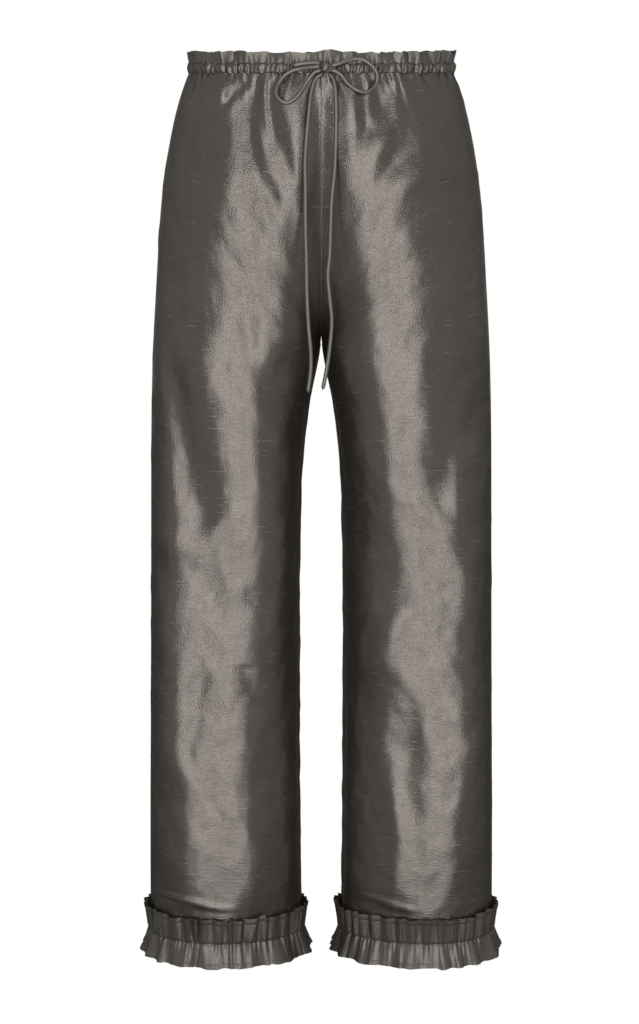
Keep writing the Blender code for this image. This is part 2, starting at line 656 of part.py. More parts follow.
def main():
    for obj in list(bpy.data.objects):
        bpy.data.objects.remove(obj)
    panel_silk = silk("panel silk", (0.14, 0.13, 0.115), 0.45)
    ruffle_silk = silk("ruffle silk", (0.15, 0.14, 0.125), 0.5)
    cord_silk = silk("cord silk", (0.17, 0.16, 0.145), 0.5)
    for side, side_word in ((-1, "right"), (1, "left")):
        leg_panel(f"leg_{side_word}_front", side, -1, panel_silk)
        leg_panel(f"leg_{side_word}_back", side, 1, panel_silk)
        hem_ruffle(side, side_word, ruffle_silk)
    waist_band(panel_silk, ruffle_silk)
    tree = cloth_tree([piece for piece in bpy.data.objects if "front" in piece.name])
    knot(tree, cord_silk)
    cord("drawstring_loop_right", tree, LOOP_RIGHT, cord_silk, lifted=True, step=7 * MM)
    cord("drawstring_loop_left", tree, LOOP_LEFT, cord_silk, lifted=True, step=7 * MM)
    cord("drawstring_lead_right", tree, LEAD_RIGHT, cord_silk, step=6 * MM)
    cord("drawstring_tail_right", tree, TAIL_RIGHT, cord_silk, hangs=True)
    cord("drawstring_tail_left", tree, TAIL_LEFT, cord_silk, hangs=True)


main()
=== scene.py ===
# %% [markdown]
# # Raw-silk trousers with a drawstring
#
# These trousers are cut from one dark, lustrous silk. Four long panels are gathered into a narrow
# casing at the waist, a frill stands above it, a bow is tied in front, and a ruffle is gathered
# round each hem. The silk shows its shape by its sheen alone, so most of this lesson is about
# where the cloth faces us and where it turns away. We start by loading the plain solid model,
# whose sizes everything here keeps to.

# %% Load the frame
import math

import bpy
import numpy as np
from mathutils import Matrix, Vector
from mathutils.bvhtree import BVHTree


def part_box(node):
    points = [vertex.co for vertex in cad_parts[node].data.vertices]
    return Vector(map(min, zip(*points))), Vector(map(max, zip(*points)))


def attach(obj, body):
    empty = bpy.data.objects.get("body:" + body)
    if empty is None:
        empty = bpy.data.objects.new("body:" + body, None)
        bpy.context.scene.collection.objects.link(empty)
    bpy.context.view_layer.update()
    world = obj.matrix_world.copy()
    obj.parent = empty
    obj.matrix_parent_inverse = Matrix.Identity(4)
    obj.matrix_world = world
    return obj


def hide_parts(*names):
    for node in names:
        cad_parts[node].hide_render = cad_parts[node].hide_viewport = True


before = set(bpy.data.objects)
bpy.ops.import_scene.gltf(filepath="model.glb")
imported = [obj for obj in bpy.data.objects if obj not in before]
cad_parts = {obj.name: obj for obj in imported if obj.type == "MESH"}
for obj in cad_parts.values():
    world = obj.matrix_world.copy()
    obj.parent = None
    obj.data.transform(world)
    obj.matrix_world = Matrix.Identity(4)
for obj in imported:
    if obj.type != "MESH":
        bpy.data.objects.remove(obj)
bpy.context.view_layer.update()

# %% [markdown]
# ## Sizes
#
# All the measurements are in metres, and small ones are written in millimetres. The panels hang
# from just under the casing, and the crotch is where the two centre seams and the two inseams
# meet. The tables below give the trousers' outline at a few heights, as a tailor's block would.

# %% Driving sizes
MM = 0.001
PANEL_TOP_Z = -7.2 * MM
CROTCH_Z = -297 * MM
PANEL_BOTTOM_Z = -985 * MM
RISE = PANEL_TOP_Z - CROTCH_Z

# z, side seam from the centre plane, front and back from the side plane, in millimetres
OUTLINE = np.array(
    [
        (20, 143, 93, 103),
        (-7, 144.6, 93.5, 104),
        (-20, 150, 97, 108),
        (-42, 157.5, 102, 114),
        (-92, 169.5, 110, 126),
        (-157, 178, 113, 135),
        (-225, 182, 111, 135),
        (-297, 187, 106, 123),
        (-390, 190, 97, 107),
        (-520, 191.5, 87, 95),
        (-700, 193.5, 78, 86),
        (-850, 195.5, 73, 80),
        (-1010, 196.5, 71, 77),
    ]
)

# z, inner edge of a leg from the centre plane, in millimetres
INNER_EDGE = np.array(
    [
        (-297, 0), (-345, 8.5), (-390, 15.5), (-440, 20.5), (-520, 23.0), (-700, 24.3),
        (-850, 23.6), (-1010, 22.0),
    ]
)

# z, depth of the valley down the centre seam at the front and at the back, in millimetres
CENTRE_VALLEY = np.array(
    [
        (-7, 0, 0), (-22, 3.0, 0.3), (-40, 6.0, 0.5), (-80, 9.5, 2), (-125, 12.5, 5),
        (-190, 11.5, 8), (-260, 5.0, 5), (-297, 0, 0), (-400, 0, 0),
    ]
)
VALLEY_HALF_WIDTH = {-1: 14 * MM, 1: 20 * MM}
VALLEY_BOTTOM = 2 * MM
VALLEY_POWER = 1.35
SIDES = ((-1, "right"), (1, "left"))
FACES = ((-1, "front"), (1, "back"))
print("rise", round(RISE * 1000), "mm, inseam", round((CROTCH_Z - PANEL_BOTTOM_Z) * 1000), "mm")

# %% [markdown]
# ## A smooth curve through a table
#
# Cloth has no corners, so we never join a table's rows with straight lines. A cubic between two
# rows, whose slopes come from the neighbouring rows, passes through every row and stays smooth.
# Three more short functions help all that follows: a smooth step, unit vectors, and distances
# along a line of points.

# %% Curves through tables
def through(table, column, z):
    """Value of a table's column at heights z. Between two rows it is the cubic with both rows'
    values and slopes (Hermite's form), where a row's slope is its neighbours' difference."""
    rows = table[np.argsort(table[:, 0])] * MM
    at, values = rows[:, 0], rows[:, column]
    slopes = np.gradient(values, at)
    z = np.clip(z, at[0], at[-1])
    i = np.clip(np.searchsorted(at, z) - 1, 0, len(at) - 2)
    width = at[i + 1] - at[i]
    s = (z - at[i]) / width
    start = (2 * s**3 - 3 * s**2 + 1) * values[i] + (s**3 - 2 * s**2 + s) * width * slopes[i]
    end = (3 * s**2 - 2 * s**3) * values[i + 1] + (s**3 - s**2) * width * slopes[i + 1]
    return start + end


def eased(s):
    """A smooth step: 3 s squared minus 2 s cubed, held at 0 below and at 1 above."""
    s = np.clip(s, 0, 1)
    return s * s * (3 - 2 * s)


def unit(vectors):
    """Vectors divided by their lengths."""
    return vectors / np.maximum(np.linalg.norm(vectors, axis=-1, keepdims=True), 1e-12)


def travelled(points):
    """Distance from a line's first point to each of its points: the running sum of its steps."""
    return np.concatenate([[0], np.cumsum(np.linalg.norm(np.diff(points, axis=0), axis=1))])


def at_distance(distance, along, rows):
    """Rows of a line's table at distances along it, each column blended between two points."""
    return np.stack([np.interp(distance, along, column) for column in rows.T], axis=-1)


print("side seam at the hips:", round(float(through(OUTLINE, 1, np.array(-0.2))), 4), "m")

# %% [markdown]
# ## Where each leg faces us
#
# A leg's section is an oval. Its crest, the line that faces the viewer, wanders left and right as
# the cloth hangs, and the oval is flat and wide in one place and narrow in another. The silk is
# bright only near the crest, so these small tables place most of the light that we see.

# %% Crests of the two legs
# z and the crest's shift towards the side seam in millimetres, and the oval's flatness: 1 is
# nearly a box, 0 is nearly an ellipse, and below 0 the crest is sharper than an ellipse's
RIGHT_CREST = np.array(
    [
        (0, -4, 0.2), (-120, 0, 0.3), (-230, -16, 0.25), (-282, -12, 0.1), (-326, 2, 0.0),
        (-369, -6, -0.2), (-413, -12, -0.3), (-446, -17, -0.3), (-490, -16, -0.3),
        (-535, -6, -0.2), (-580, 8, -0.2), (-624, 5, -0.2), (-669, 13, -0.2), (-760, 17, -0.2),
        (-806, 12, -0.2), (-900, 9, -0.2), (-1000, 4, -0.1),
    ]
)
LEFT_CREST = np.array(
    [
        (0, -6, 0.25), (-120, -12, 0.25), (-230, -10, 0.2), (-282, -14, 0.05), (-326, -12, -0.1),
        (-369, -12, -0.2), (-446, -10, -0.3), (-490, 6, -0.3), (-535, 16, -0.2),
        (-580, 17, -0.2), (-624, 12, -0.2), (-669, 14, -0.2), (-715, 28, -0.2), (-760, 30, -0.2),
        (-806, 26, -0.2), (-852, 23, -0.2), (-927, 15, -0.2), (-1000, 8, -0.1),
    ]
)
BACK_CREST = np.array(
    [
        (0, 0, 0.3), (-300, 0, 0.35), (-520, 4, 0.4), (-800, -6, 0.3), (-1000, 0, 0.25),
    ]
)


def crest_of(side, face, z):
    """Shift of the crest in metres and the oval's flatness, at heights z."""
    table = BACK_CREST if face > 0 else (RIGHT_CREST if side < 0 else LEFT_CREST)
    return through(table, 1, z), through(table, 2, z) / MM


# %% [markdown]
# ## The trousers without folds
#
# The top of the trousers is one rounded oval and each leg is an oval of its own. Down the side
# seam the one becomes the other slowly. At the centre it happens round the crotch's curve, so the
# centre seam runs down the belly and then back under the body. Averaging each point along its own
# column rounds the crotch everywhere but on the seam itself.

# %% Base surface
CROTCH_SOFTNESS = 0.11
TORSO_POWER = 0.88
CENTRE_FULLNESS = {-1: 2.0, 1: 2.3}
SMOOTHING = ((-2, 1 / 16), (-1, 4 / 16), (0, 6 / 16), (1, 4 / 16), (2, 1 / 16))


def row_heights(row):
    """Heights of a row at the side seam and at the centre. Row 0 is at the casing and row 1 at the
    crotch. At the centre the rows crowd towards the crotch as a quarter circle's heights do."""
    at_side = PANEL_TOP_Z - row * RISE
    arc = np.clip(1 - row, 0, 1) * np.pi / 2
    at_centre = np.where(row < 1, CROTCH_Z + RISE * (1 - np.cos(arc)), at_side)
    return at_side, at_centre, arc


def plain_point(side, face, turn, row):
    """A point of the cloth without folds. turn is 0 at the side seam and pi at the centre seam or
    the inseam.

    Torso: x = half width times cos(turn / 2), y = depth times sin(turn / 2), both to a power just
    under 1. Leg: x = middle plus reach times cos(turn), y = depth times sin(turn) to a power that
    falls with the flatness. The share of leg in the mix goes from 0 to 1 down the rise."""
    inward = turn / np.pi
    at_side, at_centre, arc = row_heights(row)
    z = at_side + (at_centre - at_side) * inward**2
    half_width = through(OUTLINE, 1, z)
    depth = through(OUTLINE, 2 if face < 0 else 3, z)
    inner = np.where(row > 1, through(INNER_EDGE, 1, np.minimum(z, CROTCH_Z)), 0)
    fullness = CENTRE_FULLNESS[face]
    centre_share = 1 - (1 - np.cos(arc) ** fullness) ** (1 / fullness)
    side_share = eased((row - 0.15) / 1.3)
    share = side_share + (centre_share - side_share) * inward**3
    torso_x = half_width * np.clip(np.cos(turn / 2), 0, 1) ** TORSO_POWER
    torso_y = depth * np.clip(np.sin(turn / 2), 0, 1) ** TORSO_POWER
    shift, flatness = crest_of(side, face, z)
    around = np.clip(np.sin(turn), 0, 1)
    leg_x = (half_width + inner) / 2 + (half_width - inner) / 2 * np.cos(turn) + shift * around**2
    leg_y = depth * around ** (0.94 - 0.5 * flatness)
    x = (1 - share) * torso_x + share * leg_x
    y = (1 - share) * torso_y + share * leg_y
    return np.stack([side * x, face * y, z], axis=-1)


def base_point(side, face, turn, row):
    """The plain point averaged along its column, with the weights 1, 4, 6, 4 and 1 sixteenths."""
    turn, row = np.broadcast_arrays(turn, row)
    reach = CROTCH_SOFTNESS * (1 - turn / np.pi) ** 0.6 * eased(row / 0.3)
    rows = ((row + step * reach, share) for step, share in SMOOTHING)
    return sum(share * plain_point(side, face, turn, near) for near, share in rows)


# %% [markdown]
# ## Folds laid one by one
#
# Every fold is a soft bell across a bent line: a ridge where its height is positive and a trough
# where it is negative. It fades in and out along its line. The first table has the folds of the
# front. They are low, because the flats further down take up most of them. The second one has the
# back's, at the full height that they have in the solid model too.

# %% Fold tables
# x and z at the fold's top, middle and end, half width, height, all in millimetres
FRONT_FOLDS = {
    "right gather lobe": (-101, -7, -102, -22, -105, -40, 6, 1.6),
    "right slanting trough": (-76, -7, -92, -26, -112, -46, 8, -2.6),
    "right ridge at the cord": (-59, -7, -60, -40, -56, -72, 4, 1.6),
    "right inner gather": (-28, -7, -27, -40, -24, -70, 12, 1.6),
    "left inner gather": (26, -7, 27, -30, 30, -60, 10, 1.6),
    "left ridge at the loop": (49, -7, 49, -30, 52, -60, 4, 1.4),
    "left gather lobe": (76, -7, 75, -30, 70, -60, 12, 1.6),
    "left slanting ridge": (112, -60, 96, -90, 76, -140, 16, 2.0),
    "right thigh notch": (-80, -268, -76, -298, -66, -334, 11, -1.6),
    "right knee streak": (-148, -540, -118, -580, -108, -617, 13, -1.0),
    "right shin streak": (-137, -674, -141, -712, -149, -762, 11, -1.3),
    "right shin dent": (-84, -660, -80, -674, -76, -690, 11, -1.6),
    "left knee dent": (84, -600, 72, -636, 60, -668, 14, 2.6),
    "right hem roll": (-166, -926, -142, -931, -114, -938, 18, 2.2),
    "left hem roll": (60, -928, 78, -934, 96, -940, 16, 2.0),
}
BACK_FOLDS = {
    "right seat gather": (-110, -7, -104, -40, -92, -110, 14, 4.5),
    "right seat trough": (-86, -7, -80, -45, -70, -110, 12, -6.0),
    "right inner seat gather": (-60, -7, -52, -50, -44, -130, 13, 5.0),
    "right centre trough": (-36, -7, -34, -40, -36, -90, 11, -4.5),
    "left centre gather": (22, -7, 26, -45, 30, -100, 12, 4.5),
    "left seat trough": (46, -7, 50, -45, 58, -115, 12, -6.0),
    "left seat gather": (72, -7, 76, -45, 82, -130, 14, 5.0),
    "left side trough": (104, -7, 106, -40, 100, -90, 13, -4.5),
    "right seat fold": (-60, -215, -96, -262, -146, -280, 18, -5.5),
    "left seat fold": (56, -225, 92, -268, 140, -292, 18, -5.5),
    "right calf ridge": (-96, -330, -108, -600, -116, -930, 30, 5.0),
    "right calf hollow": (-150, -380, -146, -560, -152, -760, 20, -4.5),
    "left calf ridge": (100, -340, 112, -560, 108, -930, 28, 5.0),
    "left calf hollow": (62, -420, 66, -600, 60, -780, 18, -4.0),
    "left side hollow": (152, -500, 150, -680, 154, -880, 18, -4.0),
}
FOLD_FADE = 0.22
SEAM_FADE = 22 * MM
GATHER_FADE = 16 * MM
LEVEL_AT_CENTRE = 12 * MM
CLOTH_PER_RADIAN = 70 * MM


def fold_height(folds, x, z):
    """Sum of the folds. Each is height times exp(-(distance from its line / half width) squared),
    where the line is the parabola through its three places, times a smooth fade at each end."""
    total = np.zeros(np.broadcast(x, z).shape)
    for row in folds.values():
        x0, z0, x1, z1, x2, z2, half_width, height = (value * MM for value in row)
        low, high = min(z0, z2), max(z0, z2)
        path = np.polyfit([z0, z1, z2], [x0, x1, x2], 2)
        along = (high - z) / (high - low)
        start = 1 if high > -10 * MM else eased((along + FOLD_FADE) / FOLD_FADE)
        fade = start * eased((1 + FOLD_FADE - along) / (2 * FOLD_FADE))
        across = (x - np.polyval(path, np.clip(z, low, high))) / half_width
        total += height * fade * np.exp(-(across**2))
    return total


print(len(FRONT_FOLDS) + len(BACK_FOLDS), "large folds")

# %% [markdown]
# ## Small gathers and crumples
#
# Where the cloth is drawn into the casing it puckers every few millimetres, and the puckers melt
# away within three fingers' breadth. All over, crisp silk is a little crumpled. Both are sums of
# many small waves with random directions, seeded so that the result never changes.

# %% Gathers and crumples
GATHER_LENGTHS = np.geomspace(7 * MM, 26 * MM, 14)
GATHER_DEPTH = 0.8 * MM
CRUMPLE_LENGTHS = np.geomspace(9 * MM, 60 * MM, 48)
CRUMPLE_DEPTH = 0.15 * MM


def gather_height(around, below, seed):
    """Puckers under the casing. Around the waist they are a sum of 14 waves, 7 to 26 mm long, that
    drift sideways as they go down, and the short ones fade first."""
    random = np.random.default_rng(seed)
    total = np.zeros(np.broadcast(around, below).shape)
    for length in GATHER_LENGTHS:
        phase, drift = random.uniform(0, 2 * np.pi), random.normal(0, 0.25)
        fade = np.exp(-below / (1.3 * length))
        total += fade * np.sin(2 * np.pi * (around + drift * below) / length + phase)
    return GATHER_DEPTH * total / 3


def crumple_height(around, below, seed):
    """Soft crumples: 48 waves from 9 to 60 mm long in all directions, longer ones higher."""
    random = np.random.default_rng(seed)
    total = np.zeros(np.broadcast(around, below).shape)
    for length in CRUMPLE_LENGTHS:
        angle, phase = random.uniform(0, np.pi), random.uniform(0, 2 * np.pi)
        along = around * np.cos(angle) + below * np.sin(angle)
        total += (length / (20 * MM)) ** 1.4 * np.sin(2 * np.pi * along / length + phase)
    return CRUMPLE_DEPTH * total / 5


def cloth_point(side, face, turn, row):
    """The base point moved outwards by its folds and inwards by the valley down the centre seam,
    which is the table's depth times exp(-(distance from the seam / half width) to its power)."""
    step = 1e-3
    here = base_point(side, face, turn, row)
    before, after = np.clip(turn - step, 0, np.pi), np.clip(turn + step, 0, np.pi)
    round_it = base_point(side, face, after, row) - base_point(side, face, before, row)
    down_it = base_point(side, face, turn, row + step) - base_point(side, face, turn, row - step)
    outward = np.cross(down_it, round_it) * side * face
    outward[..., 0] *= np.where(row < 1, eased(np.abs(here[..., 0]) / LEVEL_AT_CENTRE), 1)
    outward = unit(outward)
    x, z = here[..., 0], here[..., 2]
    from_inseam = np.where(row < 1, 1.0, (np.pi - turn) * CLOTH_PER_RADIAN / SEAM_FADE)
    beside_seams = eased(turn * CLOTH_PER_RADIAN / SEAM_FADE) * eased(from_inseam)
    beside_centre = eased(np.abs(x) / SEAM_FADE)
    below_casing = eased((PANEL_TOP_Z - z) / GATHER_FADE)
    folds = fold_height(FRONT_FOLDS if face < 0 else BACK_FOLDS, x, z)
    beside = (np.sqrt(x**2 + VALLEY_BOTTOM**2) - VALLEY_BOTTOM) / VALLEY_HALF_WIDTH[side]
    valley = through(CENTRE_VALLEY, 1 if face < 0 else 2, z) * np.exp(-(beside**VALLEY_POWER))
    move = folds * beside_seams * beside_centre * below_casing - valley
    return here + outward * move[..., None], outward


# %% [markdown]
# ## Flats that face the light
#
# Crisp silk doesn't hang in a smooth oval. It hangs in long flats that face one way, with quick
# turns between them. We follow each flat down the leg as a band, given by its middle and half
# width at a few heights. Inside a band the cloth keeps a tenth of its slope or less, and the rest
# of the section takes up what is left, so the crest and both seams stay where they were. Between
# the gathers at the waist lie short troughs, where the cloth falls away sideways and mirrors the
# dark.

# %% Bands of flat cloth
# z, middle from the centre plane and half width in millimetres, and the band's strength from 0 to 1
FLATS_OF_THE_RIGHT = {
    "main band": [
        (-7, 66, 7, 0.6), (-28, 80, 12, 0.9), (-41, 88, 14, 0.92), (-68, 86, 13, 0.92),
        (-94, 84, 14, 0.92), (-121, 76, 24, 0.92), (-141, 73, 27, 0.9), (-164, 71, 32, 0.88),
        (-196, 82, 35, 0.9), (-240, 77, 40, 0.9), (-282, 81, 42, 0.9), (-326, 100, 30, 0.9),
        (-369, 95, 25, 0.9), (-413, 92, 20, 0.9), (-446, 88, 17, 0.9), (-490, 91, 24, 0.9),
        (-535, 112, 62, 0.96), (-580, 128, 74, 0.975), (-624, 129, 74, 0.975),
        (-669, 130, 62, 0.96), (-715, 131, 58, 0.95), (-760, 131, 52, 0.93),
        (-806, 120, 35, 0.92), (-852, 119, 42, 0.93), (-933, 117, 36, 0.92),
    ],
    "side band": [
        (-304, 168, 6, 0), (-342, 167, 9, 0.7), (-369, 163, 12, 0.85), (-413, 157, 14, 0.9),
        (-446, 153, 20, 0.94), (-490, 147, 24, 0.96), (-535, 146, 26, 0.97), (-580, 147, 24, 0),
    ],
    "gather lobe": [
        (-7, 100, 5, 0.5), (-20, 101, 8, 0.92), (-32, 103, 7, 0.85), (-46, 106, 5, 0),
    ],
    "ridge at the cord": [
        (-7, 59, 2.5, 0.8), (-34, 59.5, 3, 0.85), (-54, 61.5, 4.5, 0.9), (-68, 57.5, 7, 0.9),
        (-94, 49.5, 12, 0.92), (-107, 46.5, 14, 0.92), (-121, 40.5, 11, 0.9), (-134, 31, 9, 0.8),
        (-150, 27, 8, 0),
    ],
    "inner gather": [
        (-15, 28, 11, 0.6), (-41, 28, 12, 0.9), (-68, 25, 9, 0.9), (-94, 22, 6, 0.9),
        (-108, 21, 5, 0),
    ],
}
FLATS_OF_THE_LEFT = {
    "main band": [
        (-7, 49, 2.5, 0.8), (-41, 49.5, 3, 0.85), (-57, 52, 5, 0.9), (-68, 56, 9, 0.92),
        (-80, 53.5, 11.5, 0.92), (-94, 48, 13, 0.92), (-107, 45, 13, 0.92), (-121, 50, 15, 0.92),
        (-141, 60, 24, 0.9), (-164, 61, 18, 0.88), (-196, 67, 20, 0.9), (-240, 72, 22, 0.9),
        (-282, 79, 27, 0.9), (-326, 84, 26, 0.9), (-369, 89, 20, 0.9), (-413, 91, 20, 0.9),
        (-446, 93, 19, 0.9), (-490, 114, 36, 0.9), (-535, 124, 42, 0.92), (-580, 126, 44, 0.92),
        (-624, 118, 50, 0.9), (-669, 120, 48, 0.86), (-715, 138, 24, 0.85), (-760, 142, 20, 0.9),
        (-806, 136, 18, 0.9), (-852, 133, 14, 0.85), (-933, 126, 14, 0.85),
    ],
    "side band": [
        (-402, 145, 8, 0), (-430, 145, 10, 0.8), (-446, 141, 12, 0.85), (-490, 138, 14, 0.9),
        (-535, 134, 16, 0),
    ],
    "inner shin band": [
        (-647, 89, 18, 0), (-692, 89, 16, 0.6), (-760, 83, 18, 0.75), (-806, 90, 10, 0.9),
        (-852, 95, 12, 0.9), (-898, 98, 13, 0.9), (-933, 90, 11, 0.9),
    ],
    "inner gather": [
        (-12, 26, 8, 0.6), (-41, 27, 10, 0.9), (-54, 29, 8, 0.9), (-68, 34, 4, 0.8),
        (-76, 35, 3, 0),
    ],
    "gather lobe": [
        (-7, 76, 6, 0.6), (-20, 76, 9, 0.9), (-41, 74.5, 11.5, 0.92), (-54, 71.5, 9, 0.9),
        (-63, 70, 5, 0),
    ],
    "slanting ridge": [
        (-67, 112, 7, 0), (-80, 104, 9, 0.5), (-94, 95, 13, 0.75), (-107, 91, 17, 0.85),
        (-121, 84, 20, 0.88), (-134, 77, 22, 0.88), (-150, 70, 18, 0),
    ],
}
# z, middle and half width in millimetres, and how steeply the cloth falls away outwards
TROUGHS_OF_THE_RIGHT = {
    "inner trough": [
        (-12, 49, 7, 0.3), (-28, 49, 8, 0.42), (-54, 46.5, 8.5, 0.45), (-68, 42.5, 8.5, 0.45),
        (-80, 39, 7.5, 0.45), (-94, 34, 6, 0.5), (-106, 31, 5, 0.45), (-130, 27, 4, 0),
    ],
    "outer trough": [
        (-12, 66, 3.5, 0.35), (-28, 66, 3.5, 0.4), (-54, 71, 5, 0.42), (-80, 70, 5, 0.45),
        (-94, 67, 5, 0.45), (-107, 63.5, 5, 0.45), (-121, 57, 5, 0.42), (-131, 51, 5, 0.42),
        (-145, 45, 4, 0.3), (-157, 42, 4, 0),
    ],
}
TROUGHS_OF_THE_LEFT = {
    "inner trough": [
        (-12, 41, 6, 0.4), (-41, 42.5, 6.5, 0.5), (-62, 43, 6.5, 0.5), (-72, 42, 5, 0.4),
        (-82, 41, 4, 0),
    ],
    "outer trough": [
        (-12, 58, 5.5, 0.3), (-41, 58, 5.5, 0.38), (-54, 60, 4, 0.38), (-64, 61, 3, 0),
    ],
    "slanting trough": [
        (-70, 77, 6, 0), (-80, 78, 9, 0.2), (-94, 71, 8, 0.35), (-107, 65, 6, 0.38),
        (-118, 60, 4, 0.3), (-126, 57, 3, 0),
    ],
}
FLATS_END_Z = (-925 * MM, -946 * MM)
FLATTEST = 0.98
BACK_SHARE = 0.85
SMALLEST_RISE = 5 * MM
BLUR_ROWS = 9


def strongest_band(bands, x, z):
    """The largest of strength times exp(-(distance from the band's middle / half width) cubed)."""
    strongest = np.zeros(np.broadcast(x, z).shape)
    for rows in bands.values():
        band = np.array(rows)
        middle, half, strength = through(band, 1, z), through(band, 2, z), through(band, 3, z) / MM
        outside = (z > band[0, 0] * MM) | (z < band[-1, 0] * MM)
        strength = np.where(outside, 0, np.clip(strength, 0, None))
        bell = np.exp(-((np.abs(np.abs(x) - middle) / half) ** 3))
        strongest = np.maximum(strongest, strength * bell)
    return strongest


def slopes_at(side, face, x, z):
    """How much of its slope the cloth keeps, 1 minus the strongest flat, and the fall that the
    troughs add. Both fade just under the casing and just above the ruffle."""
    right = side * face > 0
    flat = strongest_band(FLATS_OF_THE_RIGHT if right else FLATS_OF_THE_LEFT, x, z)
    fall = strongest_band(TROUGHS_OF_THE_RIGHT if right else TROUGHS_OF_THE_LEFT, x, z)
    ends = eased((z - FLATS_END_Z[1]) / (FLATS_END_Z[0] - FLATS_END_Z[1]))
    ends = ends * eased((PANEL_TOP_Z - z) / GATHER_FADE) * (1.0 if face < 0 else BACK_SHARE)
    return 1 - np.minimum(flat, FLATTEST) * ends, fall * ends


def flattened(side, face, points):
    """How far forwards or backwards each point of a grid moves. Each row's steps in y are scaled by
    the kept slope, the troughs add theirs, and one factor before the crest and one after it bring
    the sum back, so that the seams and the crest keep their places. At last the moves are averaged
    down the cloth with a bell's weights, so that no band starts or ends with a shelf."""
    x = (points[:, 1:, 0] + points[:, :-1, 0]) / 2
    z = (points[:, 1:, 2] + points[:, :-1, 2]) / 2
    kept, fall = slopes_at(side, face, x, z)
    step = np.diff(points[..., 1], axis=1)
    trough = -face * fall * np.diff(np.abs(points[..., 0]), axis=1)
    moved = -step
    for pick in (np.minimum, np.maximum):
        part, added = pick(step, 0), pick(trough, 0)
        rise = part.sum(axis=1, keepdims=True)
        wanted = kept * part + added * (np.abs(rise) > SMALLEST_RISE)
        total = wanted.sum(axis=1, keepdims=True)
        uneven = np.abs(total) > 1e-9
        moved = moved + wanted * np.where(uneven, rise / np.where(uneven, total, 1), 1)
    rows = len(points)
    move = np.concatenate([np.zeros((rows, 1)), np.cumsum(moved, axis=1)], axis=1)
    padded = np.pad(move, ((BLUR_ROWS, BLUR_ROWS), (0, 0)), mode="edge")
    weights = np.exp(-(np.linspace(-2, 2, 2 * BLUR_ROWS + 1) ** 2))
    blurred = sum(weight * padded[k : k + rows] for k, weight in enumerate(weights))
    return blurred / weights.sum() * eased((PANEL_TOP_Z - points[..., 2]) / GATHER_FADE)


print(len(FLATS_OF_THE_RIGHT) + len(FLATS_OF_THE_LEFT), "bands of flat cloth")

# %% [markdown]
# ## From a grid of points to a piece of cloth
#
# Each piece is a grid: its rows run down the cloth and its columns run round it. The grid becomes
# one mesh of four-sided faces, and its second job is to carry the cloth's own measure. A UV map
# in metres, along the weft and along the warp, lets the silk's threads follow the cloth.

# %% Grid to mesh
def cloth_measure(points):
    """UV in metres for a grid: the distance along each row, counted from the grid's middle column,
    and the distance down the middle column."""
    across = np.linalg.norm(np.diff(points, axis=1), axis=2)
    u = np.concatenate([np.zeros((len(points), 1)), np.cumsum(across, axis=1)], axis=1)
    middle = points.shape[1] // 2
    u -= u[:, middle : middle + 1]
    v = -travelled(points[:, middle])
    return np.stack([u, v[:, None] + 0 * u], axis=-1)


def shown(name, mesh):
    """A new object in the scene that holds the mesh, with smooth shading."""
    mesh.shade_smooth()
    piece = bpy.data.objects.new(name, mesh)
    bpy.context.scene.collection.objects.link(piece)
    return piece


def grid_mesh(name, points, measure=None, flip=False):
    """One object from a grid of points, with a measure, the points' own if none is given, as the
    UV map called cloth. Its faces look outwards where, seen from outside, the rows run down and
    the columns run to the right. A grid whose columns run to the left is flipped."""
    rows, columns = points.shape[:2]
    index = np.arange(rows * columns).reshape(rows, columns)
    corners = [index[:-1, :-1], index[1:, :-1], index[1:, 1:], index[:-1, 1:]]
    quads = np.stack(corners[::-1] if flip else corners, axis=-1).reshape(-1, 4)
    mesh = bpy.data.meshes.new(name)
    mesh.vertices.add(rows * columns)
    mesh.vertices.foreach_set("co", points.reshape(-1))
    mesh.loops.add(quads.size)
    mesh.loops.foreach_set("vertex_index", quads.reshape(-1))
    mesh.polygons.add(len(quads))
    mesh.polygons.foreach_set("loop_start", np.arange(0, quads.size, 4))
    mesh.update(calc_edges=True)
    layer = mesh.uv_layers.new(name="cloth")
    measure = cloth_measure(points) if measure is None else measure
    layer.data.foreach_set("uv", measure.reshape(-1, 2)[quads.reshape(-1)].reshape(-1))
    return shown(name, mesh)


# %% [markdown]
# ## The four leg panels
#
# A front and a back panel make each leg. The inseam doesn't lie on the leg's innermost line: it
# sits a few millimetres forward, where it shows as a thin line beside the gap between the legs.

# %% Leg panels
PANEL_ROWS = 362
PANEL_COLUMNS = 216
INSEAM_FORWARD = 0.24
INSEAM_EASE = 0.35
CRUMPLE_FADE = 8 * MM
LAST_ROW = (PANEL_TOP_Z - PANEL_BOTTOM_Z) / RISE


def panel_grid(face):
    """Turns and rows of a panel's grid. The front panel stops a little before the inner line and
    the back panel runs on past it to meet it there."""
    row = np.concatenate([np.linspace(0, 1, 130), np.linspace(1, LAST_ROW, PANEL_ROWS - 129)[1:]])
    last = np.pi + face * INSEAM_FORWARD * eased((row - 1) / INSEAM_EASE)
    share = np.linspace(0, 1, PANEL_COLUMNS)
    return last[:, None] * share[None, :], row[:, None] + 0 * share[None, :]


def panel_points(side, face):
    """Points, outward directions and turns of a panel. Past the inner line the back panel's points
    are the front's."""
    turn, row = panel_grid(face)
    own, outward = cloth_point(side, face, np.minimum(turn, np.pi), row)
    own[..., 1] += flattened(side, face, base_point(side, face, np.minimum(turn, np.pi), row))
    if face > 0:
        other, other_outward = cloth_point(side, -1, 2 * np.pi - np.maximum(turn, np.pi), row)
        beyond = (turn > np.pi)[..., None]
        own, outward = np.where(beyond, other, own), np.where(beyond, other_outward, outward)
    return own, outward, turn


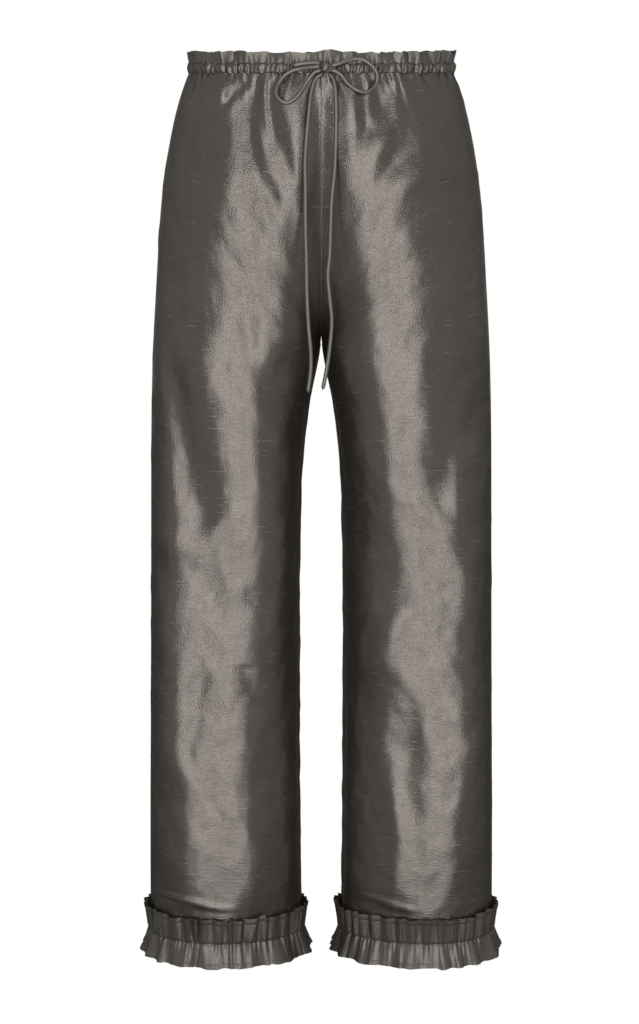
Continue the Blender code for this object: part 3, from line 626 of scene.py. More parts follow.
def leg_panel(name, side, face, seed):
    """A panel with its folds, small gathers and crumples."""
    points, outward, turn = panel_points(side, face)
    measure = cloth_measure(points)
    around, below = measure[..., 0], -measure[..., 1]
    from_seam = np.minimum(turn, turn[:, -1:] - turn) * CLOTH_PER_RADIAN
    small = crumple_height(around, below, seed) * eased(from_seam / CRUMPLE_FADE)
    small += gather_height(around, below, seed + 1)
    points = points + outward * small[..., None]
    return grid_mesh(name, points, measure, flip=side * face < 0)


panels = {}
for side, side_word in SIDES:
    for face, face_word in FACES:
        name = f"leg_{side_word}_{face_word}"
        panels[name] = leg_panel("silk_" + name, side, face, seed=10 + side * 3 + face)
        print(name, len(panels[name].data.polygons) * 2, "triangles")

# %% [markdown]
# ## Lines to gather along
#
# The casing, the frill and the ruffles all run round a closed line: the waist, or one leg just
# above its hem. We read such a line from the base surface, with its outward directions as seen
# from above, and can then ask for any place on it by its distance from the start.

# %% Closed lines
def closed_line(points):
    """A line back to its start, as points, level outward directions and distances along it."""
    ahead = np.roll(points, -1, axis=0) - np.roll(points, 1, axis=0)
    outward = unit(np.stack([ahead[:, 1], -ahead[:, 0], 0 * ahead[:, 0]], axis=1))
    points, outward = (np.concatenate([rows, rows[:1]]) for rows in (points, outward))
    return points, outward, travelled(points)


def waist_line():
    """The waist, from the right side seam across the front to the left one and back behind."""
    turn = np.linspace(0, np.pi, 361)
    back = turn[::-1]
    ring = [
        base_point(-1, -1, turn, 0.0),
        base_point(1, -1, back, 0.0)[1:],
        base_point(1, 1, turn, 0.0)[1:],
        base_point(-1, 1, back, 0.0)[1:-1],
    ]
    return closed_line(np.concatenate(ring))


def leg_line(side, z):
    """The line round a leg at a height, folds included, which runs across the front first."""
    turn = np.linspace(0, np.pi, 361)
    row = (PANEL_TOP_Z - z) / RISE
    front = cloth_point(side, -1, turn, row)[0]
    back = cloth_point(side, 1, turn, row)[0]
    if side > 0:
        front, back = front[::-1], back[::-1]
    return closed_line(np.concatenate([front, back[::-1][1:-1]]))


def on_line(line, distance):
    """Places and outward directions at distances along a closed line."""
    points, outward, along = line
    distance = np.mod(distance, along[-1])
    return at_distance(distance, along, points), unit(at_distance(distance, along, outward))


def half_way(line):
    """The distance at which a line reaches its far seam, half way through its points."""
    return line[2][len(line[0]) // 2]


waist = waist_line()
print("waist", round(waist[2][-1], 3), "m round")

# %% [markdown]
# ## Uneven waves
#
# A gathering thread never spaces its folds evenly. We draw a random width for every fold, add
# them up round the line, and turn distance into a phase: a whole turn of phase is one fold. Each
# fold also has its own size and its own lean.

# %% Wave phases
def uneven_phase(line, count, seed, unevenness):
    """Tables for a gathered line: where each fold starts, and its random size and lean."""
    random = np.random.default_rng(seed)
    widths = 1 + unevenness * random.uniform(-1, 1, count)
    starts = np.concatenate([[0], np.cumsum(widths)]) / widths.sum() * line[2][-1]
    return starts, random.uniform(-1, 1, count), random.uniform(-1, 1, count)


def wave_at(phases, distance):
    """Phase in radians, size and lean at distances along the line. Size and lean blend from one
    fold to the next over the whole fold, so nothing jumps."""
    starts, sizes, leans = phases
    count = len(sizes)
    turn = np.interp(distance, starts, np.arange(count + 1))
    fold = np.clip(np.floor(turn).astype(int), 0, count - 1)
    follow = (fold + 1) % count
    blend = eased(turn - fold)
    size, lean = (kind[fold] * (1 - blend) + kind[follow] * blend for kind in (sizes, leans))
    return 2 * np.pi * turn, size, lean


# %% [markdown]
# ## The casing
#
# The drawstring runs in a narrow channel, made by two lines of stitches through the gathered
# cloth. Between them the cloth swells over the cord, and on both lines it is pinched into tight
# puckers. More than a hundred small waves make the puckers, each with its own depth and lean, and
# half as many wider pinches run through them.

# %% Waist casing
CASING_LOW_Z = -7.2 * MM
CASING_HIGH_Z = 3.2 * MM
CASING_BULGE = 1.6 * MM
CASING_TUCK = 1.7 * MM
CASING_PUCKERS = 124
PINCHES = 52
CASING_PUCKER_DEPTH = 1.1 * MM
CASING_EDGE_DEPTH = 0.9 * MM
CASING_SWAY = 0.5 * MM
CASING_TILT = 0.35 * MM
CASING_STITCHES_AT = 0.86
COLUMN_STEP = 0.75 * MM
casing_phases = uneven_phase(waist, CASING_PUCKERS, seed=3, unevenness=0.42)
pinch_phases = uneven_phase(waist, PINCHES, seed=5, unevenness=0.6)


def band_columns(line, half, step):
    """Distances of a half band's columns, for the front half (0) or the back half (1)."""
    low, high = ((0, half_way(line)), (half_way(line), line[2][-1]))[half]
    return np.linspace(low, high, int((high - low) / step))


def casing_points(distance, t):
    """Points of the casing. Across the channel t runs from -1 at the top to 1 at the bottom. The
    offset is a bulge that follows the square root of 1 - t squared, plus the puckers and the wider
    pinches. Past -1 and 1 the edge turns in behind the frill and the panels, as the cloth does
    under its stitches, and the pinches pull both edges out of line."""
    place, outward = on_line(waist, distance)
    phase, size, lean = wave_at(casing_phases, distance)
    pinch_phase, pinch_size, pinch_lean = wave_at(pinch_phases, distance)
    swell = np.sqrt(np.clip(1 - t**2, 0, 1))
    pucker = 0.75 * np.sin(phase + 1.7 * lean * t) * (1 + 0.7 * size)
    pucker = pucker + 0.6 * (1 + pinch_size) * np.sin(pinch_phase + 1.2 * t)
    bulge = CASING_BULGE * (0.55 + 0.45 * swell) * swell
    tuck = CASING_TUCK * eased((np.abs(t) - 0.95) / 0.15)
    offset = bulge + CASING_PUCKER_DEPTH * pucker * (0.45 + 0.55 * swell) - tuck
    points = place[None] + outward[None] * offset[..., None]
    middle, reach = (CASING_HIGH_Z + CASING_LOW_Z) / 2, (CASING_HIGH_Z - CASING_LOW_Z) / 2
    points[..., 2] = middle - reach * t
    points[..., 2] += CASING_SWAY * size * (1 - t**2) + CASING_TILT * np.sin(phase) * t
    upper, lower = np.sin(pinch_phase), -1 - np.sin(pinch_phase + 2 * pinch_lean)
    reached = CASING_EDGE_DEPTH * (1 + 0.6 * pinch_size) * t**2
    points[..., 2] += reached * np.where(t < 0, upper, lower)
    return points


casings = {}
for half, word in enumerate(("front", "back")):
    distance, t = band_columns(waist, half, COLUMN_STEP), np.linspace(-1.1, 1.1, 17)[:, None]
    casings[word] = grid_mesh(f"silk_casing_{word}", casing_points(distance, t))
print(CASING_PUCKERS, "puckers round the casing")

# %% [markdown]
# ## The frill above the casing
#
# Above the casing the gathered edge stands up free in soft, uneven waves. A wave that only goes
# out and in looks like corrugated card, so each point also slides along the line at twice the
# phase, which rounds the ridges and tucks the flanks in, as a real ruffle does.

# %% Waist frill
FRILL_LOW_Z = 1.6 * MM
FRILL_HIGH_Z = 15.4 * MM
FRILL_WAVES = 27
FRILL_WAVE_DEPTH = 3.3 * MM
FRILL_SLIDE = 2.5 * MM
FRILL_FOOT_DEPTH = 0.7 * MM
FRILL_FLUTTER = 0.5 * MM
FRILL_SET_BACK = 0.3 * MM
FRILL_EDGE_STEP = 1.5 * MM
FRILL_EDGE_WAVE = 0.8 * MM
FRILL_PEAK_X = 8 * MM
FRILL_PEAK_WIDTH = 8 * MM
FRILL_PEAK_HEIGHT = 3.2 * MM
frill_phases = uneven_phase(waist, FRILL_WAVES, seed=8, unevenness=0.65)


def frill_points(distance):
    """Grid of the frill. t is 0 at the casing and 1 at the free edge. Out and in: depth times
    sin(phase). Along the line: slide times sin(2 phase). Both grow with t. The free edge goes up
    and down, and rises to a soft peak behind the knot."""
    t = np.linspace(1, 0, 15)[:, None]
    phase, size, lean = wave_at(frill_phases, distance)
    small, small_size, _ = wave_at(casing_phases, distance)
    slide = FRILL_SLIDE * t * (np.sin(2 * phase) + 0.8 * lean * np.sin(phase))
    place, outward = on_line(waist, distance[None] + slide)
    wide = FRILL_WAVE_DEPTH * (1 + 0.45 * size) * t**0.8 * np.sin(phase)
    narrow = FRILL_FOOT_DEPTH * (1 - t) * np.sin(small) * (1 + 0.4 * small_size)
    flutter = FRILL_FLUTTER * t * np.sin(2.3 * phase + 3 * size)
    points = place + outward * (wide + narrow + flutter - FRILL_SET_BACK)[..., None]
    edge = FRILL_HIGH_Z + FRILL_EDGE_STEP * size + FRILL_EDGE_WAVE * np.sin(1.7 * phase + 2 * lean)
    beside = (points[..., 0] - FRILL_PEAK_X) / FRILL_PEAK_WIDTH
    edge = edge + (points[..., 1] < 0) * FRILL_PEAK_HEIGHT * np.exp(-(beside**2))
    points[..., 2] = FRILL_LOW_Z + (edge - FRILL_LOW_Z) * t
    return points


frills = {}
for half, word in enumerate(("front", "back")):
    grid = frill_points(band_columns(waist, half, COLUMN_STEP))
    frills[word] = grid_mesh(f"silk_frill_{word}", grid)
print(FRILL_WAVES, "waves round the frill")

# %% [markdown]
# ## The ruffles at the hems
#
# Each hem carries a strip of the same silk, gathered on one stitch line so that a heading stands
# above it and a skirt falls below. The heading is pressed into folds with flat faces and quick
# turns, so its wave is flattened: the hyperbolic tangent of a sine keeps long faces and short
# flanks. The skirt opens out into a few wide flutes, and the stitch line itself is puckered.

# %% Hem ruffles
HEADING_FOLDS = 44
SKIRT_FLUTES = 17
PUCKERS = 84
RUFFLE_TOP_Z = -948.5 * MM
RUFFLE_STITCH_Z = -978.5 * MM
RUFFLE_LOW_Z = -1004.2 * MM
RUFFLE_ON_LEG = 2.3 * MM
FOLD_DEPTH = 2.3 * MM
FLUTE_DEPTH = 2.6 * MM
PUCKER_DEPTH = 0.55 * MM
RUFFLE_SLIDE = 2.0 * MM
HEADING_FLARE = 2.8 * MM
SKIRT_FLARE = 8.3 * MM
HEM_THICKNESS = 0.45 * MM
HEM_STITCH_AT = 0.79
HEM_STITCH_DEPTH = 0.5 * MM
RUFFLE_STITCH_DEPTH = 0.9 * MM
HEADING_STEP = 1.2 * MM
HEADING_SLANT = 3.0 * MM
HEADING_WAVE = 0.8 * MM
BACK_HEADING_DROP = 3 * MM
RUFFLE_COLUMN_STEP = 0.5 * MM
RUFFLE_SEEDS = {-1: 21, 1: 34}


def ruffle_points(line, phases, distance, t):
    """Points of a hem ruffle. t is -1 at the heading's free edge, 0 on the stitch line and 1 at the
    skirt's edge. The heading's folds fade to a third down the skirt, where wide flutes take over,
    and small puckers live near the stitch line only. Past the hem's stitches the cloth is double.
    Each fold of the heading also steps a little higher or lower than its neighbours."""
    folds, flutes, puckers = phases
    up, down = np.clip(-t, 0, 1), np.clip(t, 0, 1)
    phase, size, lean = wave_at(folds, distance)
    flute, flute_size, flute_lean = wave_at(flutes, distance)
    pucker, pucker_size, _ = wave_at(puckers, distance)
    turned = phase + 0.7 * lean * t
    slide = RUFFLE_SLIDE * (up**0.7 + 0.3 * down) * (1 + 0.6 * size)
    slide = slide * (np.sin(2 * turned) + 1.3 * lean * np.sin(turned))
    place, outward = on_line(line, distance[None] + slide)

    flat_wave = np.tanh(1.8 * np.sin(turned)) / np.tanh(1.8)
    strength = 0.3 + 0.7 * up**0.6 + 0.25 * down**0.6 - 0.35 * down
    flute_wave = down**0.9 * np.sin(flute + 0.8 * flute_lean * down)
    pucker_wave = np.exp(-np.abs(t) / 0.3) * np.sin(pucker)
    depth = FOLD_DEPTH * (1 + 0.55 * size) * strength * flat_wave
    depth += FLUTE_DEPTH * (1 + 0.5 * flute_size) * flute_wave
    depth += PUCKER_DEPTH * (1 + 0.6 * pucker_size) * pucker_wave
    flare = HEADING_FLARE * up**1.25 + SKIRT_FLARE * down**1.15
    past_stitches = np.abs(t) - HEM_STITCH_AT
    hem = HEM_THICKNESS * eased(past_stitches / 0.03)
    hem -= HEM_STITCH_DEPTH * np.exp(-((past_stitches / 0.022) ** 2))
    stitched_in = RUFFLE_STITCH_DEPTH * np.exp(-((t / 0.05) ** 2))
    offset = RUFFLE_ON_LEG + flare + hem - stitched_in + depth
    points = place + outward * offset[..., None]

    turns = phase / (2 * np.pi)
    fold = np.clip(np.floor(turns).astype(int), 0, len(folds[1]) - 1)
    step_up = HEADING_STEP * folds[1][fold] + HEADING_SLANT * folds[2][fold] * (turns - fold - 0.5)
    back_drop = BACK_HEADING_DROP * eased(place[..., 1] / (40 * MM))
    top = RUFFLE_TOP_Z + step_up + HEADING_WAVE * flute_size - back_drop
    edge_wave = 0.9 * flute_size * np.sin(flute) + 0.6 * size * np.sin(phase) + 0.6 * lean
    low = RUFFLE_LOW_Z + MM * edge_wave
    rise = up * (top - RUFFLE_STITCH_Z) + down * (low - RUFFLE_STITCH_Z)
    points[..., 2] = RUFFLE_STITCH_Z + rise
    return points


ruffles, hems = {}, {}
for side, side_word in SIDES:
    hem = leg_line(side, RUFFLE_STITCH_Z)
    kinds = ((HEADING_FOLDS, 0.6), (SKIRT_FLUTES, 0.5), (PUCKERS, 0.5))
    phases = [
        uneven_phase(hem, count, RUFFLE_SEEDS[side] + k, unevenness)
        for k, (count, unevenness) in enumerate(kinds)
    ]
    hems[side_word] = hem, phases
    for half, face_word in enumerate(("front", "back")):
        distance = band_columns(hem, half, RUFFLE_COLUMN_STEP)
        name = f"hem_ruffle_{side_word}_{face_word}"
        grid = ruffle_points(hem, phases, distance, np.linspace(-1, 1, 45)[:, None])
        ruffles[name] = grid_mesh("silk_" + name, grid)
    print(side_word, "hem", round(hem[2][-1], 3), "m round")

# %% [markdown]
# ## The drawstring
#
# The drawstring is a rouleau: a narrow tube of the same silk, turned right side out, which lies a
# little flat. It is tied in a bow with two long ends. Each stretch is a route drawn from the front,
# laid on the cloth by a ray that finds how far forward the cloth comes behind each point.

# %% Drawstring routes
# x and z as seen from the front, in millimetres
LOOP_RIGHT = [
    (-0.9, 0.0), (-6, -0.8), (-14, -1.6), (-22, -2.6), (-30, -4.4), (-38, -9), (-43.5, -15),
    (-47.8, -24), (-47.6, -31), (-43.5, -36.2), (-36.8, -38.4), (-28.5, -34.5), (-20.6, -25),
    (-13.6, -14), (-7, -6.4), (0.3, -4.2),
]
LOOP_LEFT = [
    (9.8, 0.0), (13.4, 1.0), (17, 2.0), (23.6, 4.2), (31.4, 6.8), (39.4, 7.6), (48.2, 4.8),
    (55.4, -1.2), (59.2, -8), (59.2, -15.6), (55.8, -22.8), (49, -27.2), (43, -26.8),
    (35.2, -23.8), (27.4, -17.6), (21.2, -9.6), (15, -5.4), (9.4, -4.0),
]
TAIL_RIGHT = [
    (2.4, -6.7), (-0.4, -8.9), (-4.8, -11.6), (-8.1, -17.4), (-10.3, -25), (-11.8, -34),
    (-13.4, -50), (-15.6, -72), (-17.4, -100), (-17.2, -130), (-17, -170), (-16, -210),
    (-15.6, -240), (-14, -275), (-11.4, -305), (-11.6, -325), (-14.6, -349),
]
TAIL_LEFT = [
    (6.8, -6.7), (9.4, -9.2), (12.4, -13.6), (14.6, -22), (15.4, -34), (15.8, -52), (15.4, -80),
    (14.2, -110), (11.2, -140), (10, -170), (9, -200), (7, -222), (9, -246), (11.2, -270),
    (9.6, -295), (6, -322), (1.4, -346),
]
LEAD_RIGHT = [(-0.4, 2.0), (-6, 3.4), (-12, 3.4), (-20, 2.6), (-26, 1.6), (-31, 0.6)]
CORD_WIDTH = 4.4 * MM
CORD_THICKNESS = 2.9 * MM
CORD_CLEARANCE = 0.25 * MM
CORD_LIFT_AT_KNOT = 2.8 * MM
CORD_LIFT_LENGTH = 28 * MM
ROUTE_STEP = 4 * MM

cloth_in_front = [panels["leg_right_front"], panels["leg_left_front"]]
cloth_in_front += [casings["front"], frills["front"]]
graph = bpy.context.evaluated_depsgraph_get()
trees = [BVHTree.FromObject(piece, graph) for piece in cloth_in_front]


def cloth_front(x, z, reach):
    """The foremost y of the cloth behind a small round place."""
    turns = np.linspace(0, 2 * np.pi, 8, endpoint=False)
    starts = [(x, -1, z)] + [(x + reach * np.cos(t), -1, z + reach * np.sin(t)) for t in turns]
    hits = [tree.ray_cast(start, (0, 1, 0))[0] for start in starts for tree in trees]
    return min((hit.y for hit in hits if hit), default=0.0)


def smooth_route(points, step):
    """Points an even step apart on a Catmull-Rom curve through a route's own points."""
    own = np.array(points)
    ends = np.concatenate([[2 * own[0] - own[1]], own, [2 * own[-1] - own[-2]]])
    fine = []
    for before, start, end, after in zip(ends, ends[1:], ends[2:], ends[3:]):
        s = np.linspace(0, 1, 12, endpoint=False)[:, None]
        curve = 2 * start + (end - before) * s + (2 * before - 5 * start + 4 * end - after) * s**2
        fine.append((curve + (3 * start - before - 3 * end + after) * s**3) / 2)
    line = np.concatenate([*fine, own[-1:]])
    along = travelled(line)
    at = np.linspace(0, along[-1], max(4, round(along[-1] / step)) + 1)
    return at_distance(at, along, line)


def laid_on_cloth(route, lifted, hangs):
    """A flat route put in front of the cloth. Each point takes the foremost place of its near
    neighbours, and the whole is averaged over five points. A route that hangs never goes back
    towards the cloth on its way down, and both ends of a lifted route rise to the knot."""
    seen = smooth_route(np.array(route) * MM, ROUTE_STEP)
    level = np.array([cloth_front(x, z, CORD_WIDTH / 2) for x, z in seen])
    level -= CORD_THICKNESS / 2 + CORD_CLEARANCE
    if hangs:
        level = np.minimum.accumulate(level)
    near = np.pad(level, 2, mode="edge")
    foremost = np.lib.stride_tricks.sliding_window_view(near, 5).min(axis=1)
    level = np.convolve(np.pad(foremost, 2, mode="edge"), np.ones(5) / 5, mode="valid")
    if lifted:
        from_start = np.arange(len(seen)) * ROUTE_STEP / CORD_LIFT_LENGTH
        level -= CORD_LIFT_AT_KNOT * (2 - eased(from_start) - eased(from_start[::-1]))
    return np.stack([seen[:, 0], level, seen[:, 1]], axis=1)


# %% [markdown]
# ## Sweeping the rouleau
#
# To sweep a flat tube we need, at every point of its route, a direction along it and a flat side.
# The flat side lies against the cloth, so the wide way is square to both the route and the view
# from the front. The tube's section is an oval with a shallow crease along its seam, and its first
# and last rings shrink to close it.

# %% Swept tube
def swept_tube(name, path, width, thickness):
    """A closed tube round a path. Its section is an oval, width by thickness, whose wide way stays
    square to the y axis."""
    along = unit(np.gradient(path, axis=0))
    wide = unit(np.cross(along, np.array([0.0, 1.0, 0.0])))
    thin = np.cross(wide, along)
    angle = np.linspace(0, 2 * np.pi, 21)[None, :]
    crease = 1 - 0.10 * np.exp(-(((angle - np.pi / 2) / 0.35) ** 2))
    size = np.ones((len(path), 1))
    size[[0, -1]], size[[1, -2]] = 0.02, 0.75
    across = (size * np.cos(angle) * width / 2)[..., None] * wide[:, None]
    through_it = (size * np.sin(angle) * crease * thickness / 2)[..., None] * thin[:, None]
    return grid_mesh(name, path[:, None] + across + through_it)


# route, whether its ends rise to the knot, whether it hangs, and the step between its points
ROUTES = {
    "loop_right": (LOOP_RIGHT, True, False, 1.2 * MM),
    "loop_left": (LOOP_LEFT, True, False, 1.2 * MM),
    "lead_right": (LEAD_RIGHT, False, False, 1.2 * MM),
    "tail_right": (TAIL_RIGHT, False, True, 2 * MM),
    "tail_left": (TAIL_LEFT, False, True, 2 * MM),
}
cords, cord_paths = {}, {}
for word, (route, lifted, hangs, step) in ROUTES.items():
    path = smooth_route(laid_on_cloth(route, lifted, hangs), step)
    cords[word] = swept_tube(f"rouleau_{word}", path, CORD_WIDTH, CORD_THICKNESS)
    cord_paths[word] = path
    print(word, round(travelled(path)[-1], 3), "m")

# %% [markdown]
# ## The knot
#
# The bow's knot is one turn of the rouleau pulled tight over the other. We make a rounded core
# and wrap a flattened turn of the same tube over it, from the upper right to the lower left.

# %% Knot
CORE_SHARE = 0.93
KNOT_TURN_WIDTH = 5.0 * MM
KNOT_TURN_THICKNESS = 1.9 * MM
knot_low, knot_high = (np.array(corner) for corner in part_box("drawstring_knot"))
knot_centre = (knot_low + knot_high) / 2
knot_half = (knot_high - knot_low) / 2


def knot_core():
    """A rounded lump: an ellipsoid whose radius dips by an eighth along two slanting creases."""
    drop = np.linspace(0.02, np.pi - 0.02, 25)[:, None]
    turn = np.linspace(0, 2 * np.pi, 41)[None, :]
    from_crease = np.sin(turn - 0.8 - 0.5 * np.cos(drop)) / 0.35
    crease = 1 - 0.13 * np.exp(-(from_crease**2)) * np.sin(drop)
    x = np.sin(drop) * np.cos(turn) * crease
    y = np.sin(drop) * np.sin(turn) * crease
    z = np.cos(drop) + 0 * turn
    return knot_centre + np.stack([x, y, z], axis=-1) * knot_half * CORE_SHARE


def knot_turn():
    """The turn over the core: an arc in front of it, tilted so that it runs from upper right to
    lower left."""
    angle = np.linspace(-0.95, 0.95, 25)
    reach = knot_half * (1.02, 0.86, 0.98)
    across, forward = np.sin(angle * 1.25), np.cos(angle * 1.25)
    x = knot_centre[0] + reach[0] * 0.42 * across
    y = knot_centre[1] - reach[1] * forward
    z = knot_centre[2] + reach[2] * across
    return np.stack([x, y, z], axis=1)


core = grid_mesh("rouleau_knot_core", knot_core())
turn_over = swept_tube("rouleau_knot_turn", knot_turn(), KNOT_TURN_WIDTH, KNOT_TURN_THICKNESS)
print("knot", [round(float(size) * 2000, 1) for size in knot_half], "mm")

# %% [markdown]
# ## Stitches and seams
#
# Sewing thread lies in short, even stitches with a small gap between them. One stitch is a bar
# with rounded ends, made once as a little grid and then placed along a line of points many times
# with whole arrays. A seam is a low, narrow ridge where the seam allowance lies under the cloth.

# %% Stitches and seams
STITCH_PITCH = 3.0 * MM
STITCH_LENGTH = 2.1 * MM
STITCH_WIDTH = 0.5 * MM
STITCH_RISE = 0.15 * MM
SEAM_WIDTH = 2.2 * MM
CENTRE_SEAM_WIDTH = 2.0 * MM
CENTRE_SEAM_HEIGHT = 0.5 * MM
INSIDE_SEAM_HEIGHT = 0.55 * MM
OUTSIDE_SEAM_HEIGHT = 0.45 * MM
SEAM_SINK = 0.1 * MM


def stitch_row(name, places, outward):
    """Stitches along a dense line of points, a little raised from it. At each place one bar lies
    along the line: across it the bar is an oval, and its ends shrink as a half circle does."""
    places = places + outward * STITCH_RISE
    along = travelled(places)
    at = np.arange(STITCH_PITCH / 2, along[-1], STITCH_PITCH)
    centre = at_distance(at, along, places)
    ahead = unit(at_distance(at + 1 * MM, along, places) - centre)
    up = at_distance(at, along, outward)
    up = unit(up - ahead * (up * ahead).sum(axis=1, keepdims=True))
    axes = np.stack([ahead, np.cross(ahead, up), up], axis=1)

    lengthwise = np.array([-1, -0.8, 0, 0.8, 1])[:, None] * STITCH_LENGTH / 2
    size = np.array([0.15, 0.8, 1, 0.8, 0.15])[:, None] * STITCH_WIDTH / 2
    angle = np.linspace(0, 2 * np.pi, 8, endpoint=False)
    bar = np.stack([lengthwise + 0 * angle, size * np.cos(angle), size * np.sin(angle)], axis=-1)
    points = centre[:, None, None] + np.einsum("rak,nkc->nrac", bar, axes)

    ring = np.arange(bar[..., 0].size).reshape(bar.shape[:2])
    after = np.roll(ring, -1, axis=1)
    quads = np.stack([ring[1:], after[1:], after[:-1], ring[:-1]], axis=-1).reshape(-1, 4)
    quads = (quads[None] + (np.arange(len(at)) * ring.size)[:, None, None]).reshape(-1, 4)
    mesh = bpy.data.meshes.new(name)
    mesh.from_pydata(points.reshape(-1, 3), [], quads)
    return shown(name, mesh)


def seam_ridge(name, places, outward, width, height):
    """A seam along a line of points: across it the ridge is height times the cosine of a half turn,
    and its two edges sink a tenth of a millimetre into the cloth."""
    beside = unit(np.cross(unit(np.gradient(places, axis=0)), outward))
    share = np.linspace(-1, 1, 9)
    lift = height * np.cos(share * np.pi / 2) - SEAM_SINK
    points = places[:, None] + beside[:, None] * (share * width / 2)[None, :, None]
    points = points + outward[:, None] * lift[None, :, None]
    return grid_mesh(name, points, flip=True)


sewing = {"waist": [], "right": [], "left": []}
for word, t in (("upper", -CASING_STITCHES_AT), ("lower", CASING_STITCHES_AT)):
    distance = np.linspace(0, waist[2][-1], 3200)
    places, outward = casing_points(distance, np.array([[t]]))[0], on_line(waist, distance)[1]
    sewing["waist"].append(stitch_row(f"stitches_casing_{word}", places, outward))
for side_word, (hem, phases) in hems.items():
    distance = np.linspace(0, hem[2][-1], 2600)
    places = ruffle_points(hem, phases, distance, np.array([[0.0]]))[0]
    outward = on_line(hem, distance)[1]
    sewing[side_word].append(stitch_row(f"stitches_ruffle_{side_word}", places, outward))
for side, side_word in SIDES:
    inside = np.linspace(1.03, LAST_ROW - 0.02, 420)
    outside = np.linspace(0.01, LAST_ROW - 0.02, 520)
    inseam = np.pi - INSEAM_FORWARD * eased((inside - 1) / INSEAM_EASE)
    leg_seams = (
        ("inside", inseam, inside, INSIDE_SEAM_HEIGHT),
        ("outside", 0 * outside, outside, OUTSIDE_SEAM_HEIGHT),
    )
    for word, turn, row, height in leg_seams:
        line, outward = cloth_point(side, -1, turn, row)
        name = f"seam_{word}_leg_{side_word}"
        sewing[side_word].append(seam_ridge(name, line, outward, SEAM_WIDTH, height))
for face, face_word in FACES:
    row = np.linspace(0.02, 0.97, 260)
    line, outward = cloth_point(-1, face, np.pi + 0 * row, row)
    outward[:, 0], line[:, 0] = 0, 0
    name = f"seam_centre_{face_word}"
    ridge = seam_ridge(name, line, unit(outward), CENTRE_SEAM_WIDTH, CENTRE_SEAM_HEIGHT)
    sewing["right"].append(ridge)
print(sum(len(pieces) for pieces in sewing.values()), "pieces of sewing")

# %% [markdown]
# ## Raw silk
#
# Raw silk has a strong lustre: it mirrors the light as a dull metal does, in its own colour, and
# is dark wherever it mirrors a dark room. So the shader is mostly metallic, and a fine raised
# grain blurs what it mirrors. The weft yarns are uneven. Noise stretched up to twenty times along
# the weft makes the short light lines called slubs. All of it reads the UV map in metres.

# %% Silk material
def filled(tree, node, inputs):
    """Sets a node's inputs. A value that is another node's output is linked instead."""
    for socket, value in inputs.items():
        if isinstance(value, bpy.types.NodeSocket):
            tree.links.new(value, node.inputs[socket])
        else:
            node.inputs[socket].default_value = value


def added(tree, kind, inputs, output=0, **settings):
    """Makes a node with its settings and inputs, and returns one of its outputs."""
    node = tree.nodes.new("ShaderNode" + kind)
    for name, value in settings.items():
        setattr(node, name, value)
    filled(tree, node, inputs)
    return node.outputs[output]


def stretched_noise(tree, place, along, down, detail):
    """Noise on the cloth's own measure, with so many cells per metre along the weft and down."""
    scaled = added(tree, "VectorMath", {0: place, 1: (along, down, 1.0)}, operation="MULTIPLY")
    return added(tree, "TexNoise", {"Vector": scaled, "Scale": 1.0, "Detail": detail}, "Fac")


def ranged(tree, value, low, high, to_low, to_high):
    """A value mapped from one range to another along a smooth step, held at both ends."""
    inputs = {"Value": value, "From Min": low, "From Max": high}
    inputs |= {"To Min": to_low, "To Max": to_high}
    return added(tree, "MapRange", inputs, "Result", interpolation_type="SMOOTHSTEP")


def summed(tree, values, weights):
    """Values times their weights, added up."""
    total = 0.0
    for value, weight in zip(values, weights):
        total = added(tree, "Math", {0: value, 1: weight, 2: total}, operation="MULTIPLY_ADD")
    return total


def new_material(name):
    """A material, its node tree and its main shader."""
    material = bpy.data.materials.new(name)
    material.use_nodes = True
    return material, material.node_tree, material.node_tree.nodes["Principled BSDF"]


def silk_material(name, colour, slub_colour, roughness, slubs, grain):
    """Raw silk: metallic, with light slubs along the weft and a fine raised grain. slubs is how
    light the slubs are, and grain how high the grain is, in metres."""
    material, tree, shader = new_material(name)
    place = added(tree, "UVMap", {}, "UV", uv_map="cloth")
    long_slub = ranged(tree, stretched_noise(tree, place, 34, 700, 1.5), 0.66, 0.73, 0, 1)
    short_slub = ranged(tree, stretched_noise(tree, place, 110, 900, 1.0), 0.665, 0.75, 0, 1)
    speckle = ranged(tree, stretched_noise(tree, place, 620, 900, 1.0), 0.35, 0.6, 0.15, 1)
    patch = ranged(tree, stretched_noise(tree, place, 9, 14, 2.0), 0.3, 0.7, 0.77, 0.87)
    grains = stretched_noise(tree, place, 640, 740, 1.0)
    yarn = stretched_noise(tree, place, 60, 1000, 2.0)
    whole = summed(tree, [long_slub, short_slub], [1.0, 0.7])
    lines = added(tree, "Math", {0: whole, 1: speckle}, operation="MULTIPLY")
    lit = summed(tree, [lines], [slubs])
    tones = {"A": (*colour, 1), "B": (*slub_colour, 1), "Factor": lit}
    tint = added(tree, "Mix", tones, "Result", data_type="RGBA")
    value = summed(tree, [patch, yarn, grains], [1.0, 0.28, 0.16])
    height = summed(tree, [grains, yarn, lines], [1.0, 0.3, 0.2])
    raised = {"Strength": 1.0, "Distance": grain, "Height": height}
    look = {
        "Base Color": added(tree, "HueSaturation", {"Color": tint, "Value": value}, "Color"),
        "Roughness": roughness,
        "Metallic": ranged(tree, lit, 0.0, 1.0, 0.82, 0.5),
        "Specular Tint": (0.42, 0.40, 0.36, 1),
        "Normal": added(tree, "Bump", raised, "Normal"),
    }
    filled(tree, shader, look)
    return material


